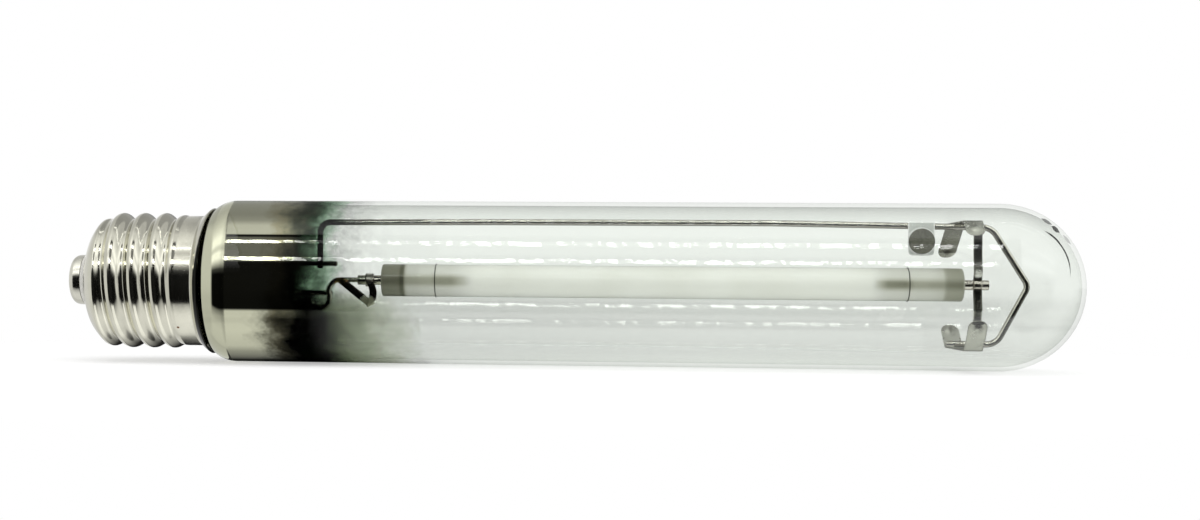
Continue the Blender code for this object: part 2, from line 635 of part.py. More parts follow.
def hook_wire():
    """Support wire: slides in the niobium tube, then hooks down past the lower lead."""
    tip = ARC_TUBE_STATION - FEED_TUBE_REACH + HOOK_WIRE_SEAT
    weld = ARC_TUBE_STATION - LOWER_LEAD_REACH
    straight_end = ARC_TUBE_STATION - FEED_TUBE_REACH - HOOK_WIRE_SEAT
    hook = [(tip, ARC_AXIS_HEIGHT), (straight_end, ARC_AXIS_HEIGHT)]
    hook += [(weld + along, LOWER_LEAD_HEIGHT + up) for along, up in HOOK_CURL]
    route = smooth([(station, 0.0, height) for station, height in hook], 2)
    wire("hook_wire", route, HOOK_WIRE_RADIUS, finish("hook_wire", (0.25, 0.24, 0.22), 0.35, 1.0))


def base_ribbon():
    """Flexible ribbon: clamped round the niobium tube, folded and welded to the hook wire."""
    clamp_station = ARC_TUBE_STATION - RIBBON_CLAMP_REACH
    radius = FEED_TUBE_RADIUS + GAP + RIBBON_THICKNESS / 2
    straight = Vector((RIBBON_WIDTH, 0.0, 0.0))
    stops = []
    for step in range(9):
        angle = math.radians(-30 + 300 * step / 8)
        stops.append((Vector((clamp_station, radius * math.sin(angle),
                              ARC_AXIS_HEIGHT - radius * math.cos(angle))), straight))
    side_station = clamp_station + RIBBON_SIDESTEP
    drop = ARC_AXIS_HEIGHT - RIBBON_FOLD_HEIGHT
    for share, station in ((0.25, side_station), (0.45, side_station + RIBBON_FOLD_STEP),
                           (0.65, side_station + RIBBON_FOLD_STEP), (0.85, side_station)):
        stops.append((Vector((station, -radius, ARC_AXIS_HEIGHT - drop * share)), straight))

    # The fold turns the ribbon back over itself, so its rows there lie along the crease
    behind = -(HOOK_WIRE_RADIUS + GAP + RIBBON_THICKNESS / 2)
    weld = Vector((ARC_TUBE_STATION - RIBBON_WELD_REACH, behind, ARC_AXIS_HEIGHT))
    folded = Vector((side_station - RIBBON_FOLD_STEP, behind, RIBBON_FOLD_HEIGHT))
    outgoing = (weld - folded).normalized()
    crease = (outgoing + Vector((0.0, 0.0, -1.0))).normalized()
    row = crease * RIBBON_WIDTH / crease.x
    out_of_crease = Vector((-crease.z, 0.0, crease.x)) * (radius + behind) / 2
    stops += [(Vector((folded.x, -radius, folded.z)), row),
              (Vector((folded.x, (behind - radius) / 2, folded.z)) + out_of_crease, row),
              (folded, row)]
    square = Vector((outgoing.z, 0.0, -outgoing.x)) * RIBBON_WIDTH
    for share in (0.2, 0.4, 0.6, 0.8, 1.0):
        stops.append((folded.lerp(weld, share), square))
    ribbon("base_ribbon", stops, RIBBON_THICKNESS,
           finish("ribbon", (0.22, 0.21, 0.19), 0.35, 1.0))


def on_arc_axis(piece):
    """Hang a piece on the arc tube's own axis."""
    piece.parent = ARC_AXIS


def arc_tube():
    """The translucent ceramic tube with its outer edges chamfered."""
    start, end = ARC_TUBE_STATION, ARC_TUBE_END_STATION
    slope = ARC_TUBE_CHAMFER * 0.4
    profile = [(ARC_TUBE_RADIUS - slope, end), (ARC_TUBE_RADIUS, end - ARC_TUBE_CHAMFER),
               (ARC_TUBE_RADIUS, start + ARC_TUBE_CHAMFER), (ARC_TUBE_RADIUS - slope, start),
               (ARC_TUBE_BORE_RADIUS, start), (ARC_TUBE_BORE_RADIUS, end)]
    on_arc_axis(turned("arc_tube", profile, finish("ceramic_tube", (0.80, 0.80, 0.77), 0.35, 0.0)))


def arc_tube_end(side, end_station, direction):
    """Plug, seal, niobium tube, electrode and coil of one end; direction points inwards."""
    def span(name, outer, inner, start, end, material):
        low, high = sorted((end_station + direction * start, end_station + direction * end))
        on_arc_axis(turned(f"{name}_{side}", [(outer, high), (outer, low), (inner, low),
                                              (inner, high)], material, SMALL_STEPS))

    feed_bore = FEED_TUBE_RADIUS - FEED_TUBE_WALL
    plug_start = SEAL_THICKNESS + GAP
    plug_end = plug_start + PLUG_LENGTH
    seal_finish = finish(f"seal_{side}", (0.45, 0.44, 0.40), 0.60, 0.0)
    span("seal_ring", ARC_TUBE_BORE_RADIUS - GAP, FEED_TUBE_RADIUS + GAP, 0.0, SEAL_THICKNESS,
         seal_finish)
    span("end_plug", ARC_TUBE_BORE_RADIUS - GAP, FEED_TUBE_RADIUS + GAP, plug_start, plug_end,
         finish(f"plug_{side}", (0.42, 0.42, 0.38), 0.55, 0.0))
    span("niobium_tube", FEED_TUBE_RADIUS, feed_bore, -FEED_TUBE_REACH, plug_end,
         finish(f"niobium_{side}", (0.52, 0.50, 0.47), 0.28, 1.0))

    tip = end_station + direction * ELECTRODE_TIP_REACH
    root = end_station + direction * (plug_end - ELECTRODE_SEAT)
    low, high = sorted((tip, root))
    bevel = ELECTRODE_RADIUS / 3
    rod_profile = [(0.0, high), (ELECTRODE_RADIUS - bevel, high), (ELECTRODE_RADIUS, high - bevel),
                   (ELECTRODE_RADIUS, low + bevel), (ELECTRODE_RADIUS - bevel, low), (0.0, low)]
    on_arc_axis(turned(f"electrode_{side}", rod_profile,
                       finish(f"tungsten_{side}", (0.16, 0.16, 0.15), 0.40, 1.0),
                       SMALL_STEPS, closed=False))

    coil_radius = ELECTRODE_RADIUS + GAP + COIL_WIRE_RADIUS
    coil_tip = tip - direction * COIL_SETBACK
    points_per_turn = 7
    count = COIL_TURNS * points_per_turn
    points = []
    for step in range(count + 1):
        angle = 2 * math.pi * step / points_per_turn
        points.append((coil_tip - direction * COIL_LENGTH * step / count,
                       coil_radius * math.cos(angle), coil_radius * math.sin(angle)))
    on_arc_axis(wire(f"electrode_coil_{side}", points, COIL_WIRE_RADIUS,
                     finish(f"coil_{side}", (0.14, 0.14, 0.13), 0.45, 1.0), 1))


def amalgam_drop():
    """Frozen drop of sodium amalgam on the floor of the arc tube."""
    mesh = bpy.data.meshes.new("amalgam_drop")
    drop = bmesh.new()
    bmesh.ops.create_uvsphere(drop, u_segments=SMALL_STEPS, v_segments=6, radius=AMALGAM_RADIUS)
    bmesh.ops.scale(drop, vec=(1.0, 1.0, AMALGAM_FLATTENING), verts=drop.verts)
    drop.to_mesh(mesh)
    drop.free()
    mesh.shade_smooth()
    piece = add_piece("amalgam_drop", mesh, finish("amalgam", (0.70, 0.70, 0.69), 0.20, 1.0))
    on_arc_axis(piece)
    piece.location = (ARC_TUBE_STATION + AMALGAM_REACH, 0.0,
                      -(ARC_TUBE_BORE_RADIUS - GAP - AMALGAM_RADIUS * AMALGAM_FLATTENING))


def cross_strap():
    """Strap welded to both runs of the frame, bowed round the front of the niobium tube."""
    bow = -(FEED_TUBE_RADIUS + GAP + STRAP_THICKNESS / 2)
    top = FRAME_DOME_HEIGHT + FRAME_WIRE_RADIUS
    bottom = FRAME_LOWER_HEIGHT - FRAME_WIRE_RADIUS
    path = [(STRAP_PLANE, top), (STRAP_PLANE, (top + ARC_AXIS_HEIGHT) / 2),
            (STRAP_PLANE, ARC_AXIS_HEIGHT + STRAP_BULGE_RUN)]
    for step in range(-2, 3):
        lean = math.radians(30 * step)
        path.append((bow * math.cos(lean / 2), ARC_AXIS_HEIGHT - FEED_TUBE_RADIUS
                     * math.sin(lean)))
    path += [(STRAP_PLANE, ARC_AXIS_HEIGHT - STRAP_BULGE_RUN),
             (STRAP_PLANE, (bottom + ARC_AXIS_HEIGHT) / 2), (STRAP_PLANE, bottom)]
    across = Vector((STRAP_WIDTH, 0.0, 0.0))
    stops = [(Vector((STRAP_STATION, depth, height)), across) for depth, height in path]
    ribbon("cross_strap", stops, STRAP_THICKNESS,
           finish("strap", (0.28, 0.27, 0.25), 0.38, 1.0))


def centring_spring(name, rod_height, up, tip_heights):
    """A leaf over the frame's run: two fingers with rounded, dimpled tips press the glass."""
    chord_height = rod_height + FRAME_WIRE_RADIUS + GAP + SPRING_THICKNESS / 2
    wall_radius = BULB_INNER_RADIUS - GAP - SPRING_THICKNESS / 2 - SPRING_DIMPLE_DEPTH
    half_chord = math.sqrt(wall_radius ** 2 - chord_height ** 2)
    bend = math.asin(half_chord / wall_radius)
    half = SPRING_WIDTH / 2

    stops = []
    for side, tip_height in zip((-1, 1), tip_heights):
        reach = half_chord + wall_radius * (math.acos(tip_height / wall_radius) - bend)
        body = reach - half * SPRING_TIP_ROWS[-1]
        finger = [(side * (reach - half * share), half * share) for share in SPRING_TIP_ROWS]
        finger += [(side * body * (1 - row / SPRING_BODY_ROWS), half * 2)
                   for row in range(1, SPRING_BODY_ROWS)]
        stops += finger if side < 0 else [(0.0, half * 2), *finger[::-1]]

    def place(across, along):
        distance, from_tip = stops[round(along * (len(stops) - 1))]
        inset = max(half - from_tip, 0.0)
        width = math.sqrt(half ** 2 - inset ** 2) + half / 8 * (inset / half)
        sideways = (across * 2 - 1) * width
        past_bend = abs(distance) - half_chord
        angle = bend + past_bend / wall_radius
        depth = abs(distance) if past_bend < 0 else wall_radius * math.sin(angle)
        height = chord_height if past_bend < 0 else wall_radius * math.cos(angle)
        from_dimple = math.hypot(sideways, from_tip - half)
        bump = max(1 - (from_dimple / SPRING_DIMPLE_RADIUS) ** 2, 0.0) ** 2
        grow = 1 + SPRING_DIMPLE_DEPTH * bump / math.hypot(depth, height)
        return Vector((SPRING_STATION + sideways, math.copysign(depth, distance) * grow,
                       up * height * grow))

    sheet_metal(name, 4, len(stops) - 1, place, SPRING_THICKNESS,
                finish(name, (0.45, 0.45, 0.42), 0.40, 1.0))


def getter_plate():
    """Small plate with cut lower corners, welded to the front of the frame's top run."""
    half = GETTER_PLATE_WIDTH / 2
    low = -GETTER_PLATE_HEIGHT
    cut = GETTER_PLATE_CORNER
    outline = [(-half, 0.0), (-half, low + cut), (cut - half, low), (half - cut, low),
               (half, low + cut), (half, 0.0)]
    curve = bpy.data.curves.new("getter_plate", "CURVE")
    curve.dimensions = "2D"
    curve.fill_mode = "BOTH"
    curve.extrude = GETTER_PLATE_THICKNESS / 2
    spline = curve.splines.new("POLY")
    spline.points.add(len(outline) - 1)
    for point, place in zip(spline.points, outline):
        point.co = (*place, 0.0, 1.0)
    spline.use_cyclic_u = True
    piece = add_piece("getter_plate", curve, finish("getter_plate", (0.72, 0.74, 0.74), 0.35, 1.0))
    piece.rotation_euler = TOWARDS_VIEWER
    piece.location = (GETTER_STATION, GETTER_PLANE, GETTER_PLATE_TOP)


def getter_pill():
    """Pressed getter pill on the plate."""
    plane = GETTER_PLANE - GETTER_PLATE_THICKNESS / 2 - GAP - GETTER_PILL_THICKNESS / 2
    centre = GETTER_PLATE_TOP - GETTER_PLATE_HEIGHT / 2 - GETTER_PILL_DROP
    mesh = bpy.data.meshes.new("getter_pill")
    pill = bmesh.new()
    bmesh.ops.create_cone(pill, cap_ends=True, segments=28, radius1=GETTER_PILL_DIAMETER / 2,
                          radius2=GETTER_PILL_DIAMETER / 2, depth=GETTER_PILL_THICKNESS)
    pill.to_mesh(mesh)
    pill.free()
    piece = add_piece("getter_pill", mesh, finish("getter_pill", (0.24, 0.24, 0.20), 0.75, 0.6))
    piece.rotation_euler = TOWARDS_VIEWER
    piece.location = (GETTER_STATION, plane, centre)
    bevel = piece.modifiers.new("Edges", "BEVEL")
    bevel.width = GETTER_PILL_THICKNESS / 5
    bevel.segments = 1
    bevel.limit_method = "ANGLE"


PIECES, CUTTERS = start_scene()
ARC_AXIS = bpy.data.objects.new("arc_axis", None)
ARC_AXIS.location = (0.0, 0.0, ARC_AXIS_HEIGHT)
PIECES.objects.link(ARC_AXIS)

base_shell()
base_insulator()
centre_contact()
contact_solder()
base_cement()
bulb()
stem()
leads()
frame_wire()
hook_wire()
base_ribbon()
arc_tube()
arc_tube_end("base", ARC_TUBE_STATION, 1)
arc_tube_end("dome", ARC_TUBE_END_STATION, -1)
amalgam_drop()
cross_strap()
centring_spring("top_spring", FRAME_DOME_HEIGHT, 1, TOP_SPRING_TIP_HEIGHTS)
centring_spring("lower_spring", -FRAME_LOWER_HEIGHT, -1, LOWER_SPRING_TIP_HEIGHTS)
getter_plate()
getter_pill()
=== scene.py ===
"""Looks of a high pressure sodium lamp: clear tubular bulb, rolled screw base, ceramic arc tube.

Metres. The lamp lies along X: its contact touches X = 0, and its dome points to +X.
"""

import math

import bmesh
import bpy
from mathutils import Matrix, Vector


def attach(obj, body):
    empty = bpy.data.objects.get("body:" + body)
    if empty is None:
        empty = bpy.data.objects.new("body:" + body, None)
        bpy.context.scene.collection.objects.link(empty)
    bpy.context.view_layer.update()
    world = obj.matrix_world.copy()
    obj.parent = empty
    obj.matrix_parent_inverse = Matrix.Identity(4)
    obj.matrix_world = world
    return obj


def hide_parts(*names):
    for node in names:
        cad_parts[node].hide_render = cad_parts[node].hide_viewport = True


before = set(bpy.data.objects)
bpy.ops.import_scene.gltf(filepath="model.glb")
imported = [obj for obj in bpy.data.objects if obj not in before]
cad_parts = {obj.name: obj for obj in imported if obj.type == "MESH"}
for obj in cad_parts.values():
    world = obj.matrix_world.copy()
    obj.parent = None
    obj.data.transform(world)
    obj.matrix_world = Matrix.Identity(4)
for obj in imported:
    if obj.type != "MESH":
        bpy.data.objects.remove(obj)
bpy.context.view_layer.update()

# The photographer's place. A short lens stands 462 mm in front of the lamp and level with it,
# and the dome end is a little nearer than the base.
AIM = Vector((0.12073, 0.0, 0.0))
CAMERA_DISTANCE = 0.462
CAMERA_YAW = math.radians(5.1)
CAMERA_ROLL = math.radians(0.5)
lens = bpy.data.cameras.new("camera")
lens.lens = 48.0
lens.sensor_width = 36.0
lens.clip_start = 0.01
lens.shift_x = 0.1
lens.shift_y = 0.01917
camera = bpy.data.objects.new("camera", lens)
bpy.context.collection.objects.link(camera)
camera.location = AIM + CAMERA_DISTANCE * Vector((math.sin(CAMERA_YAW), -math.cos(CAMERA_YAW), 0))
gaze = (AIM - camera.location).to_track_quat("-Z", "Y").to_matrix()
camera.rotation_euler = (gaze @ Matrix.Rotation(CAMERA_ROLL, 3, "Z")).to_euler()
bpy.context.scene.camera = camera
bpy.context.scene.view_settings.view_transform = "Standard"

# The studio: a pale floor and a white surround. Metal and glass show the rest of the room,
# which is dark round the camera, with three rows of small ceiling lights and a pale floor.
ROOM = (  # degrees up from the camera's side, and how bright the room is there
    (-180, 0.02), (-153, 0.02), (-135, 0.32), (-119, 0.60), (-105, 1.10), (-75, 1.30), (-43, 1.25),
    (-40, 0.010), (27, 0.010), (29, 0.24), (56, 0.24), (64.5, 0.24), (66, 0.02), (69, 0.02),
    (70.5, 0.95), (86, 0.90), (96, 0.50), (109, 0.39), (160, 0.42), (172, 0.25), (180, 0.10))
SIDE_WALL = (  # the same for the wall at the base end, which is nearer
    (-180, 0.02), (-160, 0.02), (-132, 0.08), (-120, 0.33), (-112, 0.80), (-100, 0.90), (-76, 0.93),
    (-63, 0.84), (-52, 0.60), (-44, 0.30), (-40, 0.004), (10, 0.004), (17, 0.07), (22, 0.45),
    (27, 0.95), (33, 1.55), (41, 1.55), (46, 1.05), (50, 1.05), (56, 1.55), (66, 1.55),
    (74, 1.25), (87, 0.97), (103, 0.75), (122, 0.60), (150, 0.65), (170, 0.90), (180, 0.90))
SIDE_WALL_SLOPE = -0.2665  # a slope says how far a ray leans to the dome end as it goes out
DOOR_FRAME_SLOPE = -0.2645
CEILING_END_SLOPE = 0.26
RIGHT_WALL_SLOPE = 0.36
DOOR_FRAME_FOOT = 20.0
DOOR_FRAME_DARK = 0.95
BRIGHT_FLOOR_SLOPE = -0.31  # past this the floor behind the base is lit
BRIGHT_FLOOR_ANGLE = -115.0
BRIGHT_FLOOR_GLOW = 0.75
FAR_SIDES_SLOPE = 1.9
BASE_SIDE_SLOPE = -0.9
FAR_SIDES_GLOW = 0.8
SOFT_LIGHT = 0.58  # the surround as dull surfaces and shadows meet it
CEILING_LIGHTS = (  # each row's middle and half width in degrees, its glow and its lamps
    (32.0, 2.4, 1.0, 11.0), (58.0, 2.2, 1.0, 11.0), (100.0, 1.0, 0.0, 5.0))
FAR_ROW_SLOPE = -0.19  # where the third row, which has no glow between its lamps, starts
LIGHT_DASH_SCALE = 140.0
LIGHT_DASH_CLIMB = 0.15


def node(tree, kind, **values):
    """Add a node; each value names a socket, or a property of the node."""
    made = tree.nodes.new(kind)
    for key, value in values.items():
        socket = made.inputs.get(key.replace("_", " ")) if not hasattr(made, key) else None
        if socket is None:
            setattr(made, key, value)
        else:
            socket.default_value = value
    return made


def feed(tree, socket, term):
    """Give a socket another node's output, a colour or a number."""
    if isinstance(term, bpy.types.NodeSocket):
        tree.links.new(term, socket)
    else:
        socket.default_value = (*term, 1.0) if isinstance(term, tuple) else term


def sums(tree, operation, first, second=0.0, third=0.0):
    """A Math node; each of its terms is a number or another node's output."""
    made = node(tree, "ShaderNodeMath", operation=operation)
    for socket, term in zip(made.inputs, (first, second, third)):
        feed(tree, socket, term)
    return made.outputs[0]


def axes(tree, source):
    """The X, Y and Z of a vector."""
    made = node(tree, "ShaderNodeSeparateXYZ")
    tree.links.new(source, made.inputs[0])
    return made.outputs


def slant(tree, first, second):
    """The length of the slanting side over two square legs."""
    squares = [sums(tree, "POWER", leg, 2.0) for leg in (first, second)]
    return sums(tree, "SQRT", sums(tree, "ADD", *squares))


def noise(tree, where, scale, detail, **values):
    """The grey of a cloudy noise."""
    made = node(tree, "ShaderNodeTexNoise", Scale=scale, Detail=detail, **values)
    tree.links.new(where, made.inputs["Vector"])
    return made.outputs[0]


def ramp(tree, source, stops):
    """A colour ramp through stops (place, grey or colour)."""
    made = node(tree, "ShaderNodeValToRGB")
    band = made.color_ramp
    while len(band.elements) < len(stops):
        band.elements.new(0.5)
    for element, (place, colour) in zip(band.elements, stops):
        element.position = place
        shade = (colour,) * 3 if isinstance(colour, (int, float)) else colour
        element.color = (*shade, 1.0)
    tree.links.new(source, made.inputs[0])
    return made.outputs[0]


def reading(tree, value, scale, stops, offset=0.0):
    """A ramp with its stops in the value's own units; scale and offset bring them to 0 to 1."""
    placed = [(place * scale + offset, shade) for place, shade in stops]
    return ramp(tree, sums(tree, "MULTIPLY_ADD", value, scale, offset), placed)


world = bpy.data.worlds.new("studio")
bpy.context.scene.world = world
world.use_nodes = True
room = world.node_tree
room.nodes.clear()
way = axes(room, node(room, "ShaderNodeTexCoord").outputs["Generated"])
towards = sums(room, "MULTIPLY", way["Y"], -1.0)
climb = sums(room, "MULTIPLY", sums(room, "ARCTAN2", way["Z"], towards), 180 / math.pi)
place = sums(room, "MULTIPLY_ADD", climb, 1 / 360, 0.5)
slope = sums(room, "DIVIDE", way["X"], slant(room, way["Y"], way["Z"]))
walls = ramp(room, place, [((angle + 180) / 360, shade) for angle, shade in ROOM])
side = ramp(room, place, [((angle + 180) / 360, shade) for angle, shade in SIDE_WALL])
at_side = sums(room, "MAXIMUM", sums(room, "LESS_THAN", slope, SIDE_WALL_SLOPE),
               sums(room, "GREATER_THAN", slope, RIGHT_WALL_SLOPE))
low_down = sums(room, "MULTIPLY", sums(room, "LESS_THAN", slope, BRIGHT_FLOOR_SLOPE),
                sums(room, "LESS_THAN", climb, BRIGHT_FLOOR_ANGLE))
side = sums(room, "MAXIMUM", side, sums(room, "MULTIPLY", low_down, BRIGHT_FLOOR_GLOW))
door = sums(room, "MULTIPLY", sums(room, "LESS_THAN", slope, DOOR_FRAME_SLOPE),
            sums(room, "GREATER_THAN", climb, DOOR_FRAME_FOOT))
walls = sums(room, "MULTIPLY", walls, sums(room, "MULTIPLY_ADD", door, -DOOR_FRAME_DARK, 1.0))
walls = sums(room, "MULTIPLY_ADD", at_side, sums(room, "SUBTRACT", side, walls), walls)
aside = sums(room, "MAXIMUM", slope,
             sums(room, "MULTIPLY", slope, FAR_SIDES_SLOPE / BASE_SIDE_SLOPE))
far = sums(room, "MULTIPLY_ADD", aside, 2.0, -2.0 * FAR_SIDES_SLOPE)
far = sums(room, "MINIMUM", sums(room, "MAXIMUM", far, 0.0), 1.0)
walls = sums(room, "MULTIPLY_ADD", far, sums(room, "SUBTRACT", FAR_SIDES_GLOW, walls), walls)
grain = room.nodes.new("ShaderNodeCombineXYZ")
room.links.new(sums(room, "MULTIPLY", slope, LIGHT_DASH_SCALE), grain.inputs[0])
room.links.new(sums(room, "MULTIPLY", climb, LIGHT_DASH_CLIMB), grain.inputs[1])
dashes = noise(room, grain.outputs[0], 1.0, 1.0, noise_dimensions="2D")
lit = ramp(room, dashes, [(0.51, 0.0), (0.53, 1.0)])
past = sums(room, "GREATER_THAN", slope, FAR_ROW_SLOPE)
in_room = sums(room, "MULTIPLY", sums(room, "GREATER_THAN", slope, DOOR_FRAME_SLOPE),
               sums(room, "LESS_THAN", slope, CEILING_END_SLOPE))
glow = walls
for middle, half_width, row_glow, row_lamps in CEILING_LIGHTS:
    off = sums(room, "ABSOLUTE", sums(room, "SUBTRACT", climb, middle))
    inside = sums(room, "LESS_THAN", off, half_width)
    inside = sums(room, "MULTIPLY", inside, past if not row_glow else in_room)
    row_light = sums(room, "MULTIPLY_ADD", lit, row_lamps, row_glow)
    glow = sums(room, "MULTIPLY_ADD", inside, row_light, glow)
rays = room.nodes.new("ShaderNodeLightPath")
seen = sums(room, "MAXIMUM", rays.outputs["Is Camera Ray"], rays.outputs["Is Transmission Ray"])
plain = sums(room, "MULTIPLY_ADD", seen, 1.0 - SOFT_LIGHT, SOFT_LIGHT)
glossy = sums(room, "MULTIPLY", rays.outputs["Is Glossy Ray"], sums(room, "SUBTRACT", 1.0, seen))
difference = sums(room, "SUBTRACT", glow, plain)
strength = sums(room, "MULTIPLY_ADD", glossy, difference, plain)
surround = room.nodes.new("ShaderNodeBackground")
surround.inputs["Color"].default_value = (1.0, 1.0, 1.0, 1.0)
room.links.new(strength, surround.inputs["Strength"])
room.links.new(surround.outputs[0], room.nodes.new("ShaderNodeOutputWorld").inputs["Surface"])

# The sheet of paper under the lamp keeps its shadow and fades into the white further off.
FLOOR_HEIGHT = -0.0237
FLOOR_CENTRE = (0.14, 0.0, FLOOR_HEIGHT)
FLOOR_HALF = (0.30, 0.22, 1.0)


def paint(name):
    """A new material, its nodes and its main shader."""
    made = bpy.data.materials.new(name)
    made.use_nodes = True
    return made, made.node_tree, made.node_tree.nodes["Principled BSDF"]


def from_oval(tree, where, centre, half):
    """How far a place is from an oval's centre; its edge, at these half sizes, is at 1."""
    oval = node(tree, "ShaderNodeMapping", vector_type="TEXTURE")
    oval.inputs["Location"].default_value = centre
    oval.inputs["Scale"].default_value = half
    tree.links.new(where, oval.inputs["Vector"])
    away = node(tree, "ShaderNodeVectorMath", operation="LENGTH")
    tree.links.new(oval.outputs[0], away.inputs[0])
    return away.outputs["Value"]


floor_mesh = bmesh.new()
bmesh.ops.create_grid(floor_mesh, x_segments=1, y_segments=1, size=6.0)
bmesh.ops.translate(floor_mesh, verts=floor_mesh.verts, vec=FLOOR_CENTRE)
floor_data = bpy.data.meshes.new("floor")
floor_mesh.to_mesh(floor_data)
floor_mesh.free()
floor = bpy.data.objects.new("floor", floor_data)
bpy.context.collection.objects.link(floor)
floor_paint, tree, paper = paint("floor")
paper.inputs["Base Color"].default_value = (0.62, 0.62, 0.62, 1.0)
paper.inputs["Roughness"].default_value = 0.9
paper.inputs["Specular IOR Level"].default_value = 0.0
paper.inputs["Emission Color"].default_value = (1.0, 1.0, 1.0, 1.0)
paper.inputs["Emission Strength"].default_value = 0.46
reach = from_oval(tree, node(tree, "ShaderNodeTexCoord").outputs["Object"], FLOOR_CENTRE,
                  FLOOR_HALF)
fade = node(tree, "ShaderNodeMixShader")
tree.links.new(ramp(tree, reach, [(0.35, 0.0), (0.95, 1.0)]), fade.inputs[0])
tree.links.new(paper.outputs[0], fade.inputs[1])
tree.links.new(tree.nodes.new("ShaderNodeBsdfTransparent").outputs[0], fade.inputs[2])
tree.links.new(fade.outputs[0], tree.nodes["Material Output"].inputs["Surface"])
floor_data.materials.append(floor_paint)
floor.visible_glossy = False

LAMP_MIDDLE = Vector((0.145, 0.0, 0.0))


def soft_lamp(name, place, size, power):
    """A broad lamp aimed at the middle of the part. Metal shows the room and not the lamp."""
    light = bpy.data.lights.new(name, "AREA")
    light.shape = "RECTANGLE"
    light.size, light.size_y = size
    light.energy = power
    lamp = bpy.data.objects.new(name, light)
    bpy.context.collection.objects.link(lamp)
    lamp.location = place
    lamp.rotation_euler = (LAMP_MIDDLE - lamp.location).to_track_quat("-Z", "Y").to_euler()
    lamp.visible_glossy = False


soft_lamp("overhead", Vector((0.10, -0.25, 0.95)), (1.2, 0.8), 5.0)
soft_lamp("fill", Vector((0.50, -0.90, 0.35)), (0.7, 0.5), 2.0)

# The screw shell: brass sheet, rolled to the thread in one piece with its domed end, plain
# skirt and flared lip, then nickel plated. The lip is drawn black where it meets the glass,
# in a band that narrows on top.
CREST_RADIUS = 0.01975
ROOT_RADIUS = 0.01795
PITCH = 0.00635
CREST_STATION = 0.0283
CREST_SHARE = 0.33  # of the pitch, from a crest's middle to where the groove's curve starts
RUN_IN = (0.0083, 0.0148)
RUN_OUT = (0.0312, 0.0355)
SKIRT_RADIUS = 0.01895
RIM_STATION = 0.0403
SHELL_WALL = 0.0005
SHOULDER_CENTRE = (0.0145, 0.049976)
CONE = ((0.0084, 0.0065), (0.0170, 0.0078), (0.01795, 0.0120))  # the domed end's curve
LIP_TURN = (65.3, 47.0)  # degrees round the bulb's shoulder, from the lip's root to its edge
LIP_REACH = (0.01065, 0.00980)
RUST_SPECK = (0.0356, -0.0134, -0.0134)
SHELL_COLUMNS = 240
SHELL_STEP = 0.00028


def quadratic(curve, share):
    """A point of a quadratic curve through three (radius, station) points."""
    return tuple((1 - share) ** 2 * a + 2 * share * (1 - share) * b + share ** 2 * c
                 for a, b, c in zip(*curve))


def smoothstep(value):
    """0 below 0, 1 above 1 and a smooth rise between."""
    value = min(max(value, 0.0), 1.0)
    return value * value * (3 - 2 * value)


def thread_sink(angle, station):
    """How far the rolled thread's surface lies under its crests."""
    crest = CREST_STATION + PITCH * (angle - math.pi) / (2 * math.pi)
    offset = abs((station - crest + PITCH / 2) % PITCH - PITCH / 2)
    turning = PITCH * CREST_SHARE
    depth = CREST_RADIUS - ROOT_RADIUS
    if offset <= turning:
        return depth * CREST_SHARE * 2 * (offset / turning) ** 2
    groove = (PITCH / 2 - offset) / (PITCH / 2 - turning)
    return depth * (1 - (1 - CREST_SHARE * 2) * groove ** 2)


def shell_outline():
    """Plain outline of the shell before it is rolled."""
    outline = [quadratic(CONE, step / 22) for step in range(22)]
    steps = round((RIM_STATION - CONE[2][1]) / SHELL_STEP)
    for step in range(steps):
        outline.append((ROOT_RADIUS, CONE[2][1] + (RIM_STATION - CONE[2][1]) * step / steps))
    for step in range(9):
        angle = math.radians(LIP_TURN[0] + (LIP_TURN[1] - LIP_TURN[0]) * step / 8)
        reach = LIP_REACH[0] + (LIP_REACH[1] - LIP_REACH[0]) * step / 8
        outline.append((SHOULDER_CENTRE[0] + reach * math.cos(angle),
                        SHOULDER_CENTRE[1] - reach * math.sin(angle)))
    return outline


def add_piece(name, data, material, slot, *replaced):
    """Link a finished piece, let it ride on the lamp and hide the solids it stands for."""
    piece = bpy.data.objects.new(name, data)
    bpy.context.collection.objects.link(piece)
    data.materials.append(material)
    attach(piece, "root")
    if replaced:
        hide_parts(*replaced)
    return piece


def mesh_from(name, shape, smooth=True):
    """Turn a finished bmesh into a mesh, shaded round unless it is flat work."""
    data = bpy.data.meshes.new(name)
    shape.to_mesh(data)
    shape.free()
    if smooth:
        data.shade_smooth()
    return data


def sheet(name, columns, rows, put):
    """A grid bent to shape: put(across, along) gives each of its points."""
    shape = bmesh.new()
    bmesh.ops.create_grid(shape, x_segments=columns, y_segments=rows, size=0.5)
    for vertex in shape.verts:
        vertex.co = put(vertex.co.x + 0.5, vertex.co.y + 0.5)
    bmesh.ops.remove_doubles(shape, verts=shape.verts, dist=0.0000005)
    return mesh_from(name, shape)


def thicken(piece, thickness, offset):
    """Give a sheet its thickness."""
    wall = piece.modifiers.new("Thickness", "SOLIDIFY")
    wall.thickness = thickness
    wall.offset = offset
    wall.use_even_offset = True


def relief(tree, shader, height, strength, rise=0.0002):
    """Raise and sink a shader's surface a little, as the height says."""
    made = node(tree, "ShaderNodeBump", Strength=strength, Distance=rise)
    tree.links.new(height, made.inputs["Height"])
    tree.links.new(made.outputs[0], shader.inputs["Normal"])


